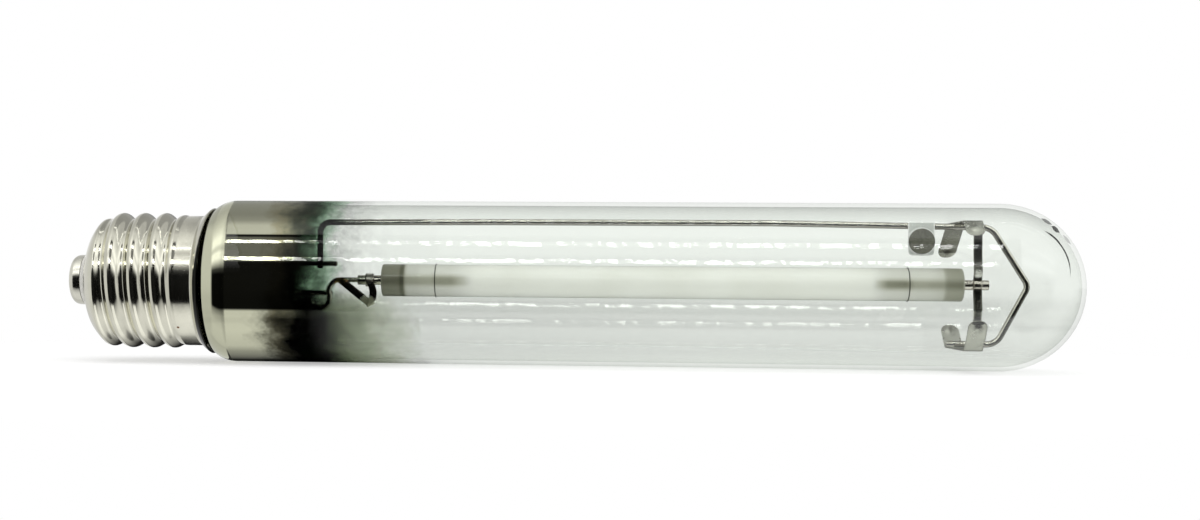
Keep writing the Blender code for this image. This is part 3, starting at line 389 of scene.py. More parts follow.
def metal(name, colour, roughness, grain=900.0, bump=0.02, uneven=0.10):
    """Bright or dull metal with a fine uneven surface, and its nodes for further work."""
    made, tree, shader = paint(name)
    shader.inputs["Metallic"].default_value = 1.0
    where = node(tree, "ShaderNodeTexCoord").outputs["Object"]
    clouds = noise(tree, where, grain / 4, 4.0)
    dark = tuple(channel * 0.86 for channel in colour)
    tint = ramp(tree, clouds, [(0.35, dark), (0.62, colour)])
    tree.links.new(tint, shader.inputs["Base Color"])
    spread = sums(tree, "MULTIPLY_ADD", clouds, uneven, roughness - uneven / 2)
    tree.links.new(spread, shader.inputs["Roughness"])
    relief(tree, shader, noise(tree, where, grain, 2.0), bump)
    return made, tree, shader, tint, where


def blended(tree, share, first, second):
    """Two colours mixed, with this share of the second."""
    made = node(tree, "ShaderNodeMix", data_type="RGBA")
    for socket, term in zip((made.inputs[0], made.inputs[6], made.inputs[7]),
                            (share, first, second)):
        feed(tree, socket, term)
    return made.outputs[2]


def distance(tree, where, centre):
    """How far each place is from the centre."""
    made = node(tree, "ShaderNodeVectorMath", operation="DISTANCE")
    tree.links.new(where, made.inputs[0])
    made.inputs[1].default_value = centre
    return made.outputs["Value"]


outline = shell_outline()


def shell_point(around, along):
    """A point of the rolled shell."""
    angle = 2 * math.pi * around
    radius, station = outline[round(along * (len(outline) - 1))]
    if station < RIM_STATION:
        rise = smoothstep((station - RUN_IN[0]) / (RUN_IN[1] - RUN_IN[0]))
        radius += (CREST_RADIUS - thread_sink(angle, station) - ROOT_RADIUS) * rise
        fade = smoothstep((station - RUN_OUT[0]) / (RUN_OUT[1] - RUN_OUT[0]))
        radius += (SKIRT_RADIUS - radius) * fade
    return Vector((station, radius * math.sin(angle), -radius * math.cos(angle)))


nickel, tree, shader, tint, where = metal("nickel_plate", (0.70, 0.69, 0.585), 0.12, 500.0,
                                          0.03, 0.07)
station = axes(tree, where)
ragged = noise(tree, where, 700.0, 3.0)
high = sums(tree, "MAXIMUM", station["Z"], 0.0)
dark_mark = sums(tree, "MULTIPLY_ADD", high, -0.115, station["X"])
dark_mark = sums(tree, "MULTIPLY_ADD", sums(tree, "MULTIPLY", ragged, high), 0.04, dark_mark)
drawn_dark = reading(tree, dark_mark, 20.0, [(RIM_STATION + 0.0009, 0.0), (RIM_STATION + 0.00115, 1.0)])
speck = reading(tree, distance(tree, where, RUST_SPECK), 1000.0, [(0.00025, 1.0), (0.0005, 0.0)])
rusty = blended(tree, speck, tint, (0.16, 0.07, 0.03))
tree.links.new(blended(tree, drawn_dark, rusty, (0.010, 0.010, 0.008)),
               shader.inputs["Base Color"])
shell = add_piece("rolled_shell", sheet("rolled_shell", SHELL_COLUMNS, len(outline) - 1,
                                        shell_point), nickel, "nickel_plate", "base_shell")
thicken(shell, SHELL_WALL, -1.0)

# The contact end: a pressed and plated cup on a pale moulded insulator, with a low dome of
# solder that is worn flat where it meets the lampholder.


def turned(name, profile, steps=96, closed=True):
    """A mesh turned about the lamp's axis from points (radius, station)."""
    shape = bmesh.new()
    corners = [shape.verts.new((along, 0.0, radius)) for radius, along in profile]
    edges = [shape.edges.new(pair) for pair in zip(corners, corners[1:])]
    if closed:
        edges.append(shape.edges.new((corners[-1], corners[0])))
    bmesh.ops.spin(shape, geom=corners + edges, cent=(0, 0, 0), axis=(1, 0, 0),
                   angle=2 * math.pi, steps=steps, use_merge=True)
    bmesh.ops.remove_doubles(shape, verts=shape.verts, dist=0.000001)
    bmesh.ops.recalc_face_normals(shape, faces=shape.faces)
    return mesh_from(name, shape)


def rounded(profile, radii, steps=5):
    """A profile with some of its corners rounded: radii maps a corner's place to a radius."""
    points = []
    for index, corner in enumerate(profile):
        if index not in radii:
            points.append(corner)
            continue
        corner = Vector(corner)
        before = (Vector(profile[index - 1]) - corner).normalized()
        after = (Vector(profile[(index + 1) % len(profile)]) - corner).normalized()
        reach = radii[index] / math.tan(before.angle(after) / 2)
        curve = (corner + before * reach, corner, corner + after * reach)
        points += [quadratic(curve, step / steps) for step in range(steps + 1)]
    return points


def crisp(data, degrees=35):
    """Keep a mesh's hard corners hard."""
    data.set_sharp_from_angle(angle=math.radians(degrees))
    return data


cup = rounded([(0.0073, 0.0043), (0.0073, 0.0007), (0.0009, 0.0007), (0.0009, 0.0015),
               (0.0065, 0.0015), (0.0065, 0.0043)], {1: 0.0024, 4: 0.0016}, 8)
contact_plate = metal("contact_plate", (0.74, 0.73, 0.64), 0.14, 700.0, 0.05, 0.12)[0]
add_piece("contact_cup", crisp(turned("contact_cup", cup)), contact_plate, "contact_plate",
          "centre_contact")
button = [(0.0, 0.0004), (0.0023, 0.0004), (0.0021, 0.00022), (0.0016, 0.00006), (0.0010, 0.0),
          (0.0, 0.0)]
solder = metal("solder", (0.62, 0.62, 0.58), 0.34, 1800.0, 0.30, 0.20)[0]
add_piece("solder_button", crisp(turned("solder_button", button, 48, False)), solder, "solder",
          "contact_solder")


def matt(name, colour, roughness, grain=1500.0, bump=0.25, spread=0.80):
    """Ceramic, cement or powder: a speckled dull surface."""
    made, tree, shader = paint(name)
    speckle = noise(tree, node(tree, "ShaderNodeTexCoord").outputs["Object"], grain, 5.0)
    dark = tuple(channel * spread for channel in colour)
    tree.links.new(ramp(tree, speckle, [(0.38, dark), (0.60, colour)]),
                   shader.inputs["Base Color"])
    tree.links.new(sums(tree, "MULTIPLY_ADD", speckle, 0.2, roughness - 0.1),
                   shader.inputs["Roughness"])
    relief(tree, shader, speckle, bump)
    return made


moulding = [(0.0013, 0.0100), (0.0149, 0.0100), (0.0147, 0.0094), (0.0132, 0.0084),
            (0.0110, 0.0078), (0.0081, 0.0074), (0.0081, 0.0056), (0.00795, 0.0054),
            (0.0076, 0.0046), (0.0062, 0.0046), (0.0062, 0.0031), (0.0049, 0.0018),
            (0.0013, 0.0018)]
add_piece("insulator_moulding", crisp(turned("insulator_moulding", moulding)),
          matt("insulator", (0.76, 0.75, 0.70), 0.45, 900.0, 0.10, 0.88), "insulator",
          "base_insulator")

# The basing cement: resin and powdered stone, baked to a ring that holds the neck in the
# shell. It is left as the solid it is.
cement_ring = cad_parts["base_cement"].data
cement_ring.materials.clear()
cement_ring.materials.append(matt("cement", (0.60, 0.53, 0.40), 0.90, 2200.0, 0.60, 0.62))

# The bulb: clear hard glass, blown and drawn to a thin even wall. It is clear face on, and
# grey-green where it is seen along the wall.
BULB_RADIUS = 0.0235
GLASS_WALL = 0.0012
NECK_RADIUS = 0.0163
NECK_FILLET = 0.0017
NECK_END = 0.0160
SHOULDER_RADIUS = 0.0090
DOME_STATION = 0.26651
OWN_MIRROR = 0.04  # how much the glass reflects face on, and how much more along the wall
GLANCING_MIRROR = 0.12


def bulb_side(inset, steps):
    """Outline of the glass from the dome's pole to the neck, this far under its skin."""
    outside = BULB_RADIUS - inset
    side = [(outside * math.sin(math.pi / 2 * step / steps),
             DOME_STATION + outside * math.cos(math.pi / 2 * step / steps))
            for step in range(steps + 1)]
    side[0] = (0.0, DOME_STATION + outside)
    centre, along = SHOULDER_CENTRE
    turn = math.acos((NECK_RADIUS - inset + NECK_FILLET - centre) / (SHOULDER_RADIUS - inset))
    arc = [(centre + (SHOULDER_RADIUS - inset) * math.cos(turn * step / steps),
            along - (SHOULDER_RADIUS - inset) * math.sin(turn * step / steps))
           for step in range(steps + 1)]
    start = arc[-1]
    corner = (NECK_RADIUS - inset, start[1] - NECK_FILLET / math.tan(turn))
    fillet = (start, corner, (corner[0], corner[1] - NECK_FILLET))
    neck = [quadratic(fillet, step / 8) for step in range(1, 9)]
    return side + arc + neck + [(NECK_RADIUS - inset, NECK_END)]


def either(tree, share, first, second):
    """A surface that is one shader or the other, with this share of the second."""
    both = node(tree, "ShaderNodeMixShader")
    tree.links.new(share, both.inputs[0])
    tree.links.new(first.outputs[0], both.inputs[1])
    tree.links.new(second.outputs[0], both.inputs[2])
    tree.links.new(both.outputs[0], node(tree, "ShaderNodeOutputMaterial").inputs["Surface"])
    return both


def clear_glass(name, tint):
    """Thin glass: tinted face on, and brighter with reflections at a glancing angle."""
    made, tree, _ = paint(name)
    tree.nodes.clear()
    facing = node(tree, "ShaderNodeLayerWeight", Blend=0.5).outputs["Facing"]
    mirror = sums(tree, "MULTIPLY_ADD", sums(tree, "POWER", facing, 5.0), GLANCING_MIRROR,
                  OWN_MIRROR)
    through = node(tree, "ShaderNodeBsdfTransparent")
    through.inputs["Color"].default_value = (*tint, 1.0)
    polish = node(tree, "ShaderNodeBsdfGlossy", Roughness=0.0)
    where = node(tree, "ShaderNodeTexCoord").outputs["Object"]
    stretch = node(tree, "ShaderNodeMapping")
    stretch.inputs["Scale"].default_value = (30.0, 90.0, 90.0)
    tree.links.new(where, stretch.inputs["Vector"])
    relief(tree, polish, noise(tree, stretch.outputs[0], 1.0, 2.0), 0.05, 0.001)
    both = either(tree, mirror, through, polish)
    return made, tree, through, facing, where, both


def product(tree, first, second):
    """Two colours, or a colour and a grey, multiplied."""
    made = node(tree, "ShaderNodeMix", data_type="RGBA", blend_type="MULTIPLY")
    made.inputs[0].default_value = 1.0
    feed(tree, made.inputs[6], first)
    feed(tree, made.inputs[7], second)
    return made.outputs[2]


# Where a place on the glass is: how far into the dome, how high, and on which skin.
bulb_glass, tree, through, facing, where, both = clear_glass("bulb_glass", (1.0, 1.0, 1.0))
spot = axes(tree, where)
into_dome = sums(tree, "MAXIMUM", sums(tree, "SUBTRACT", spot["X"], DOME_STATION), 0.0)
from_core = tree.nodes.new("ShaderNodeCombineXYZ")
tree.links.new(into_dome, from_core.inputs[0])
tree.links.new(spot["Y"], from_core.inputs[1])
tree.links.new(spot["Z"], from_core.inputs[2])
depth = node(tree, "ShaderNodeVectorMath", operation="LENGTH")
tree.links.new(from_core.outputs[0], depth.inputs[0])
bore = sums(tree, "LESS_THAN", depth.outputs["Value"], BULB_RADIUS - GLASS_WALL / 2)
height = sums(tree, "MULTIPLY_ADD", spot["Z"], 1 / (2 * BULB_RADIUS), 0.5)

# The bore's skin has painted shade towards its own outline, more on top than below.
above = ramp(tree, height, [(0.35, 0.0), (0.62, 1.0)])
edge_shade = ramp(tree, facing, [(0.40, 0.0), (1.0, 0.20)])
straight = reading(tree, into_dome, 40.0, [(0.010, 1.0), (0.0155, 0.10)])
edge_dark = sums(tree, "MULTIPLY", sums(tree, "MULTIPLY", edge_shade, bore),
                 sums(tree, "MULTIPLY", above, straight))

# The lower half is a little darker: faint bands from its foot up to the axis, and more by the film.
low_bands = ramp(tree, height, [(0.0, 0.990), (0.03, 0.990), (0.07, 0.945), (0.13, 0.930),
                            (0.215, 0.940), (0.24, 0.938), (0.258, 0.905), (0.272, 0.905),
                            (0.29, 0.935), (0.31, 0.925), (0.345, 0.945), (0.384, 0.942),
                            (0.41, 0.950), (0.45, 0.985), (0.50, 1.0)])
base_end_dim = reading(tree, spot["X"], 5.0, [(0.100, 0.975), (0.190, 1.0)])
thinning = reading(tree, into_dome, 40.0, [(0.0, 1.0), (0.00875, 0.5)])
low_bands = sums(tree, "MULTIPLY_ADD", sums(tree, "SUBTRACT", low_bands, 1.0), thinning, 1.0)
low_down = ramp(tree, height, [(0.40, 1.0), (0.55, 0.0)])
base_end_dim = sums(tree, "MULTIPLY_ADD", sums(tree, "SUBTRACT", base_end_dim, 1.0), low_down, 1.0)

# In front of the film's lower half the skin's own mirror is dulled.
in_front = sums(tree, "LESS_THAN", spot["Y"], 0.0)
over_film = sums(tree, "MULTIPLY", in_front,
                 reading(tree, spot["X"], 5.0, [(0.074, 0.97), (0.086, 0.0)]))
dulled = sums(tree, "MULTIPLY_ADD", sums(tree, "MULTIPLY", over_film, low_down), -1.0, 1.0)
mirror = both.inputs[0].links[0].from_socket
tree.links.new(sums(tree, "MULTIPLY", mirror, dulled), both.inputs[0])
colour = product(tree, product(tree, (0.972, 0.984, 0.968), low_bands),
                 sums(tree, "SUBTRACT", 1.0, edge_dark))
colour = product(tree, colour, base_end_dim)

# Short dark marks of the glass-blower's tool on the dome: centre, radius and half width of each
# arc in millimetres, its middle and half length in degrees, how dark it is, and which skin.
TOOL_MARKS = ((4.33, 5.10, 11.45, 0.30, 24.0, 38.0, 0.95, True),
              (4.33, 5.10, 11.60, 0.34, 48.0, 18.0, 0.95, True),
              (0.0, 0.0, 21.1, 0.62, 59.5, 5.0, 0.72, False),
              (0.0, 0.0, 20.5, 0.85, 51.5, 4.2, 0.88, False),
              (0.0, 0.0, 20.7, 0.60, 39.7, 5.0, 0.36, False))
marked = 1.0
for along, up, radius, half_width, middle, half_length, dark, inside in TOOL_MARKS:
    run = sums(tree, "SUBTRACT", spot["X"], DOME_STATION + along / 1000)
    rise = sums(tree, "SUBTRACT", spot["Z"], up / 1000)
    reach = sums(tree, "MULTIPLY_ADD", slant(tree, run, rise), 1000.0, -radius)
    off = sums(tree, "ABSOLUTE", reach)
    angle = sums(tree, "MULTIPLY", sums(tree, "ARCTAN2", rise, run), 180 / math.pi)
    away = sums(tree, "ABSOLUTE", sums(tree, "SUBTRACT", angle, middle))
    thick = ramp(tree, sums(tree, "DIVIDE", away, half_length), [(0.3, 1.0), (1.0, 0.0)])
    cover = ramp(tree, sums(tree, "MULTIPLY_ADD", thick, half_width,
                            sums(tree, "MULTIPLY", off, -1.0)), [(0.0, 0.0), (0.06, 1.0)])
    skin = bore if inside else sums(tree, "SUBTRACT", 1.0, bore)
    cover = sums(tree, "MULTIPLY", cover, sums(tree, "MULTIPLY", skin, in_front))
    marked = sums(tree, "MULTIPLY", marked, sums(tree, "MULTIPLY_ADD", cover, -dark, 1.0))
tree.links.new(product(tree, colour, marked), through.inputs["Color"])

bulb_outline = bulb_side(0.0, 24) + bulb_side(GLASS_WALL, 24)[::-1]
add_piece("glass_bulb", crisp(turned("glass_bulb", bulb_outline, 160, False), 50), bulb_glass,
          "bulb_glass", "bulb")

# The mirror film: getter metal flashed on the glass of the shoulder. It is a dark mirror that
# thins out along the bulb, to a smoky teal edge on top and further on to an olive one below.
FILM_DEPTH = 0.00008  # just under the outer skin, where the wall's glass makes it appear
FILM_WALL = 0.00004
FILM_START = 0.0300
FILM_END = 0.1060
FILM_ZONE = (0.050, FILM_END)
WISP_REACH = 0.020
MIRROR_TOP = (  # how much of the film is a mirror at each station, on top and low down
    (0.061, 1.0), (0.066, 0.86), (0.068, 0.66), (0.070, 0.42), (0.072, 0.20), (0.076, 0.0))
MIRROR_FOOT = (
    (0.056, 1.0), (0.059, 0.80), (0.061, 0.50), (0.063, 0.25), (0.065, 0.10), (0.067, 0.04),
    (0.070, 0.0))
CLEAR_TOP = (  # how much light its two faces each let through, on top and low down
    (0.0685, 0.03), (0.0710, 0.20), (0.0730, 0.39), (0.0750, 0.54), (0.077, 0.70), (0.079, 0.80),
    (0.0816, 0.89), (0.085, 0.94), (0.092, 1.0))
CLEAR_FOOT = (
    (0.0695, 0.0), (0.0733, 0.03), (0.0757, 0.11), (0.078, 0.30), (0.0803, 0.50), (0.085, 0.68),
    (0.092, 0.82), (0.100, 0.93), (0.106, 1.0))


def film_line(inset):
    """The film's outline from its clear end to inside the lip."""
    side = bulb_side(inset, 24)[25:]
    radius = BULB_RADIUS - inset
    run = [(radius, FILM_END - (FILM_END - SHOULDER_CENTRE[1]) * step / 24) for step in range(24)]
    return run + side[:-1] + [(side[-1][0], FILM_START)]


film, tree, _ = paint("mirror_film")
tree.nodes.clear()
where = node(tree, "ShaderNodeTexCoord").outputs["Object"]
spot = axes(tree, where)
wisps = noise(tree, where, 120.0, 6.0, Roughness=0.68)
drift = sums(tree, "MULTIPLY_ADD", wisps, -WISP_REACH, spot["X"])
behind = sums(tree, "MAXIMUM", spot["Y"], 0.0)
drift = sums(tree, "MULTIPLY_ADD", behind, 0.40, drift)
zone = 1 / (FILM_ZONE[1] - FILM_ZONE[0])
along = sums(tree, "MULTIPLY_ADD", drift, zone, (WISP_REACH / 2 - FILM_ZONE[0]) * zone)
foot = reading(tree, spot["Z"], 20.0, [(-0.0105, 1.0), (-0.0020, 0.0)], 0.5)


def graded(stops):
    """A ramp along the film; its stops are stations."""
    places = [((station - FILM_ZONE[0]) * zone, value) for station, value in stops]
    return ramp(tree, along, places)


def between(top, low):
    """The upper side's value, changing to the lower side's."""
    return blended(tree, foot, top, low)


cover = between(graded(MIRROR_TOP), graded(MIRROR_FOOT))
smoky = between(graded(CLEAR_TOP), graded(CLEAR_FOOT))
teal = graded([(0.06904, (0.80, 1.0, 0.80)), (0.07576, (0.88, 1.0, 0.90)), (0.0836, 1.0)])
olive = graded([(0.0724, (0.92, 1.0, 0.86)), (0.0836, (0.955, 1.0, 0.885)),
                (0.0948, (0.985, 1.0, 0.95)), (0.106, 1.0)])
mirror = node(tree, "ShaderNodeBsdfPrincipled", Metallic=1.0, Roughness=0.03)
silver = graded([(0.0612, (0.67, 0.66, 0.51)), (0.06568, (0.56, 0.52, 0.34)),
                 (0.0724, (0.38, 0.42, 0.29))])
turned_in = reading(tree, spot["X"], 15.0, [(0.04960, 1.0), (0.05027, 0.79)])
tree.links.new(product(tree, silver, turned_in), mirror.inputs["Base Color"])
veil = node(tree, "ShaderNodeBsdfTransparent")
mottled = ramp(tree, noise(tree, where, 420.0, 4.0), [(0.36, 0.12), (0.62, 0.0)])
thin = graded([(0.0752, 1.0), (0.0976, 0.0)])
mottled = sums(tree, "MULTIPLY_ADD", sums(tree, "MULTIPLY", mottled, thin), -1.0, 1.0)
smoky = product(tree, smoky, between(teal, olive))
tree.links.new(product(tree, smoky, mottled), veil.inputs["Color"])
either(tree, cover, veil, mirror)
add_piece("mirror_film", turned("mirror_film", film_line(FILM_DEPTH)
                                + film_line(FILM_DEPTH + FILM_WALL)[::-1], 128), film,
          "bulb_glass")

# The stem: a glass tube flared and pressed flat round the leads, which it holds and seals in
# the neck. It is kept as the solid is, and smoothed.


def smoothed(name, source, material, slot, degrees=40):
    """A copy of a CAD solid with its facets merged and shaded round, in place of it."""
    shape = bmesh.new()
    shape.from_mesh(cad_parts[source].data)
    bmesh.ops.remove_doubles(shape, verts=shape.verts, dist=0.000001)
    return add_piece(name, crisp(mesh_from(name, shape), degrees), material, slot, source)


stem_glass = clear_glass("stem_glass", (0.88, 0.93, 0.90))[0]
smoothed("glass_stem", "stem", stem_glass, "stem_glass")

# Leads, frame and hook: round drawn wires. The leads are nickel wire darkened by the press,
# the frame is brighter steel, and the hook shows heat colours at its weld.
CUT_END = ((0.0, 0.35), (0.12, 0.72), (0.35, 0.93), (0.6, 1.0))  # place and width, in radii


def bent(corners, radii, steps=10):
    """A wire's route with each inner corner rounded to its bend radius."""
    corners = [Vector(corner) for corner in corners]
    route = [corners[0]]
    for before, corner, after, radius in zip(corners, corners[1:], corners[2:], radii):
        incoming = (corner - before).normalized()
        outgoing = (after - corner).normalized()
        turn = incoming.angle(outgoing)
        start = corner - incoming * radius * math.tan(turn / 2)
        centre = corner + (outgoing - incoming).normalized() * radius / math.cos(turn / 2)
        for step in range(steps + 1):
            swing = Matrix.Rotation(turn * step / steps, 3, incoming.cross(outgoing))
            route.append(centre + swing @ (start - centre))
    route.append(corners[-1])
    return route


def flowing(points, steps=8):
    """A smooth route through given points."""
    points = [Vector(point) for point in points]
    padded = [2 * points[0] - points[1], *points, 2 * points[-1] - points[-2]]
    route = []
    for a, b, c, d in zip(padded, padded[1:], padded[2:], padded[3:]):
        for step in range(steps):
            t = step / steps
            route.append(0.5 * (2 * b + (c - a) * t + (2 * a - 5 * b + 4 * c - d) * t ** 2
                                + (3 * b - a - 3 * c + d) * t ** 3))
    route.append(points[-1])
    return route


def wire(name, route, radius, material, slot, *replaced):
    """A round wire with its cut ends rounded over."""
    curve = bpy.data.curves.new(name, "CURVE")
    curve.dimensions = "3D"
    head = (route[1] - route[0]).normalized()
    tail = (route[-2] - route[-1]).normalized()
    route = ([route[0] + head * radius * run for run, _ in CUT_END] + route[1:-1]
             + [route[-1] + tail * radius * run for run, _ in CUT_END[::-1]])
    ends = [width for _, width in CUT_END]
    widths = ends + [1.0] * (len(route) - 2 * len(ends)) + ends[::-1]
    spline = curve.splines.new("POLY")
    spline.points.add(len(route) - 1)
    for point, where, width in zip(spline.points, route, widths):
        point.co = (*where, 1.0)
        point.radius = width
    spline.use_smooth = True
    curve.bevel_depth = radius
    curve.bevel_resolution = 5
    curve.use_fill_caps = True
    return add_piece(name, curve, material, slot, *replaced)


# The two leads: thick wire from the press, cranked back so that their tips lie behind the
# frame and the hook, which are welded to them.
LEAD_RADIUS = 0.00072
LEAD_BEND = 0.002
LEAD_DEPTH = 0.0019
LEAD_ROUTE = ((0.0418, 0.0), (0.0640, 0.0), (0.0680, LEAD_DEPTH))
lead_wire = metal("lead_wire", (0.24, 0.235, 0.20), 0.16, 900.0, 0.05, 0.08)[0]
for name, height, tip in (("upper_lead", 0.0053, 0.07873), ("lower_lead", -0.00326, 0.07733)):
    corners = [(station, depth, height) for station, depth in (*LEAD_ROUTE, (tip, LEAD_DEPTH))]
    wire(f"{name}_wire", bent(corners, (LEAD_BEND, LEAD_BEND)), LEAD_RADIUS, lead_wire,
         "lead_wire", name)

# The two tails: thin wire from the press to the contact and to the shell, soldered there.
tail_wire = metal("tail_wire", (0.62, 0.36, 0.20), 0.35)[0]
for source in ("contact_wire", "shell_wire"):
    smoothed(f"{source}_run", source, tail_wire, "tail_wire", 80)

# The frame: one bent wire from the upper lead, along the bulb, and round the dome end.
FRAME_RADIUS = 0.00088
FRAME_BENDS = (0.0030, 0.5, 0.5, 0.0045, 0.0030, 0.0045)  # the two wide ones bow the top run
FRAME_CORNERS = ((0.07393, 0.0038), (0.07393, 0.0173), (0.1250, 0.0176), (0.2050, 0.0177),
                 (0.26473, 0.0168), (0.27497, 0.0005), (0.26623, -0.0160), (0.25233, -0.0160))
frame_steel, tree, shader, tint, where = metal("frame_wire", (0.74, 0.72, 0.65), 0.11, 1200.0,
                                               0.04, 0.06)
# The leg by the press is drawn near black; the underside carries painted shade.
dark_leg = reading(tree, axes(tree, where)["X"], 10.0, [(0.0765, 0.06), (0.083, 1.0)])
skyward = axes(tree, node(tree, "ShaderNodeTexCoord").outputs["Normal"])["Z"]
underside_shade = reading(tree, skyward, 0.5, [(-0.4, 0.50), (0.2, 1.0)], 0.5)
tree.links.new(product(tree, product(tree, tint, dark_leg), underside_shade), shader.inputs["Base Color"])
frame_corners = [(station, 0.0, height) for station, height in FRAME_CORNERS]
wire("frame_run", bent(frame_corners, FRAME_BENDS, 14), FRAME_RADIUS, frame_steel,
     "frame_wire", "frame_wire")

# The hook: thinner wire from the lower lead, bent up and slid into the niobium tube.
HOOK_RADIUS = 0.00075
HOOK = ((0.08913, 0.0006), (0.0850, 0.0006), (0.08113, 0.0006), (0.07833, 0.00024),
        (0.07653, -0.00216), (0.07673, -0.00416), (0.07653, -0.00606), (0.07503, -0.00736),
        (0.07253, -0.00696), (0.07123, -0.00566), (0.07103, -0.00476))


def heat_colours(material_parts, centre, reach):
    """Straw, brown and blue temper colours round a weld."""
    made, tree, shader, tint, where = material_parts
    near = sums(tree, "DIVIDE", distance(tree, where, centre), reach)
    temper = ramp(tree, near, [(0.0, (0.75, 0.62, 0.36)), (0.30, (0.62, 0.44, 0.18)),
                               (0.55, (0.30, 0.17, 0.10)), (0.75, (0.10, 0.10, 0.12)),
                               (1.0, (0.0, 0.0, 0.0))])
    amount = ramp(tree, near, [(0.45, 1.0), (0.95, 0.0)])
    tree.links.new(blended(tree, amount, tint, temper), shader.inputs["Base Color"])
    return made


hook_steel = heat_colours(metal("hook_wire", (0.80, 0.77, 0.67), 0.26, 1200.0, 0.06, 0.08),
                          (0.0795, 0.0, 0.0004), 0.0026)
wire("hook_run", flowing([(station, 0.0, height) for station, height in HOOK]), HOOK_RADIUS,
     hook_steel, "hook_wire", "hook_wire")

# The arc tube: a translucent tube of sintered alumina with grey plugs sealed in its ends, a
# niobium tube through each plug, and a coiled tungsten electrode on each niobium tube.
ARC_AXIS = 0.0006
ARC_START = 0.09243
ARC_END = 0.25673
ARC_RADIUS = 0.00465
ARC_BORE = 0.0039
FEED_RADIUS = 0.0014
FEED_BORE = 0.0011
RING_RADIUS = 0.00473
RING_THICKNESS = 0.00026


def on_arc_axis(data):
    """Raise a turned mesh from the lamp's axis to the arc tube's own."""
    data.transform(Matrix.Translation((0.0, 0.0, ARC_AXIS)))
    return data


alumina, tree, shader = paint("ceramic_tube")
where = node(tree, "ShaderNodeTexCoord").outputs["Object"]
crystals = noise(tree, where, 1600.0, 3.0)
clouds = noise(tree, where, 60.0, 3.0)
body = ramp(tree, clouds, [(0.35, (0.88, 0.885, 0.84)), (0.62, (0.93, 0.935, 0.90))])
from_end = sums(tree, "MULTIPLY_ADD", axes(tree, where)["X"], 1 / (ARC_END - ARC_START),
                -ARC_START / (ARC_END - ARC_START))
# Painted shadow of the electrodes, rods and plugs seen through the wall: darkest down the middle,
# where the wall is seen face on, and tinted olive where it is darkest.
facing = node(tree, "ShaderNodeLayerWeight", Blend=0.5).outputs["Facing"]
core = ramp(tree, facing, [(0.0, 1.0), (0.03, 0.82), (0.065, 0.32), (0.13, 0.0)])
electrode = ramp(tree, from_end, [(0.036, 0.46), (0.086, 0.42), (0.090, 0.46), (0.095, 0.54),
                                  (0.124, 0.56), (0.162, 0.0), (0.845, 0.0), (0.872, 0.66),
                                  (0.902, 0.72), (0.918, 0.44), (0.938, 0.46), (0.943, 0.52)])
drawn_dark = ramp(tree, from_end, [(0.036, 0.17), (0.120, 0.15), (0.165, 0.0), (0.845, 0.0),
                                  (0.870, 0.15), (0.940, 0.18), (0.968, 0.24)])
ends = ramp(tree, from_end, [(0.0, 0.63), (0.031, 0.61), (0.034, 0.80), (0.041, 0.76),
                             (0.0435, 0.0), (0.966, 0.0), (0.970, 0.34), (1.0, 0.40)])
shadow = sums(tree, "MULTIPLY_ADD", sums(tree, "MULTIPLY", core, electrode), -1.0, 1.0)
shadow = sums(tree, "MULTIPLY", shadow, sums(tree, "SUBTRACT", 1.0, drawn_dark))
shadow = sums(tree, "MULTIPLY", shadow, sums(tree, "SUBTRACT", 1.0, ends))
olive = ramp(tree, shadow, [(0.15, (1.0, 1.0, 0.76)), (0.90, (1.0, 1.0, 1.0))])
painted = product(tree, product(tree, body, shadow), olive)
tree.links.new(painted, shader.inputs["Base Color"])
# The emission is a painted glow, for light that seeps through the tube from behind.
tree.links.new(painted, shader.inputs["Emission Color"])
shader.inputs["Emission Strength"].default_value = 0.11  # light that seeps through from behind
tree.links.new(sums(tree, "MULTIPLY_ADD", crystals, 0.12, 0.26), shader.inputs["Roughness"])
shader.inputs["Transmission Weight"].default_value = 0.30
shader.inputs["IOR"].default_value = 1.30
shader.inputs["Coat Weight"].default_value = 0.6
shader.inputs["Coat Roughness"].default_value = 0.08
relief(tree, shader, crystals, 0.06, 0.0001)
tube = rounded([(ARC_RADIUS, ARC_END), (ARC_RADIUS, ARC_START), (ARC_BORE, ARC_START),
                (ARC_BORE, ARC_END)], {0: 0.0005, 1: 0.0005})
add_piece("alumina_tube", on_arc_axis(crisp(turned("alumina_tube", tube, 96))), alumina,
          "ceramic_tube", "arc_tube")

plug_grey = matt("ceramic_plug", (0.22, 0.22, 0.19), 0.55, 1300.0, 0.15, 0.85)
frit_grey = matt("sealing_frit", (0.30, 0.30, 0.26), 0.60, 1600.0, 0.40, 0.75)
tungsten = metal("tungsten", (0.12, 0.12, 0.11), 0.40)[0]
coil_grey = metal("tungsten_coil", (0.08, 0.08, 0.075), 0.50)[0]
amalgam = metal("amalgam", (0.66, 0.66, 0.64), 0.18)[0]
for end in ("base", "dome"):
    smoothed(f"plug_{end}", f"end_plug_{end}", plug_grey, "ceramic_plug")
    smoothed(f"frit_{end}", f"seal_ring_{end}", frit_grey, "sealing_frit")
    smoothed(f"electrode_rod_{end}", f"electrode_{end}", tungsten, "tungsten")
    smoothed(f"coil_{end}", f"electrode_coil_{end}", coil_grey, "tungsten_coil", 80)
smoothed("sodium_amalgam", "amalgam_drop", amalgam, "amalgam", 80)

niobium = metal("niobium", (0.80, 0.76, 0.69), 0.20, 1500.0, 0.10, 0.12)[0]
for name, low, high, source in (("feed_tube_base", 0.08513, 0.09773, "niobium_tube_base"),
                                ("feed_tube_dome", 0.25143, 0.26403, "niobium_tube_dome")):
    outline = rounded([(FEED_RADIUS, high), (FEED_RADIUS, low), (FEED_BORE, low),
                       (FEED_BORE, high)], {0: 0.00012, 1: 0.00012}, 3)
    add_piece(name, on_arc_axis(crisp(turned(name, outline, 48))), niobium, "niobium", source)

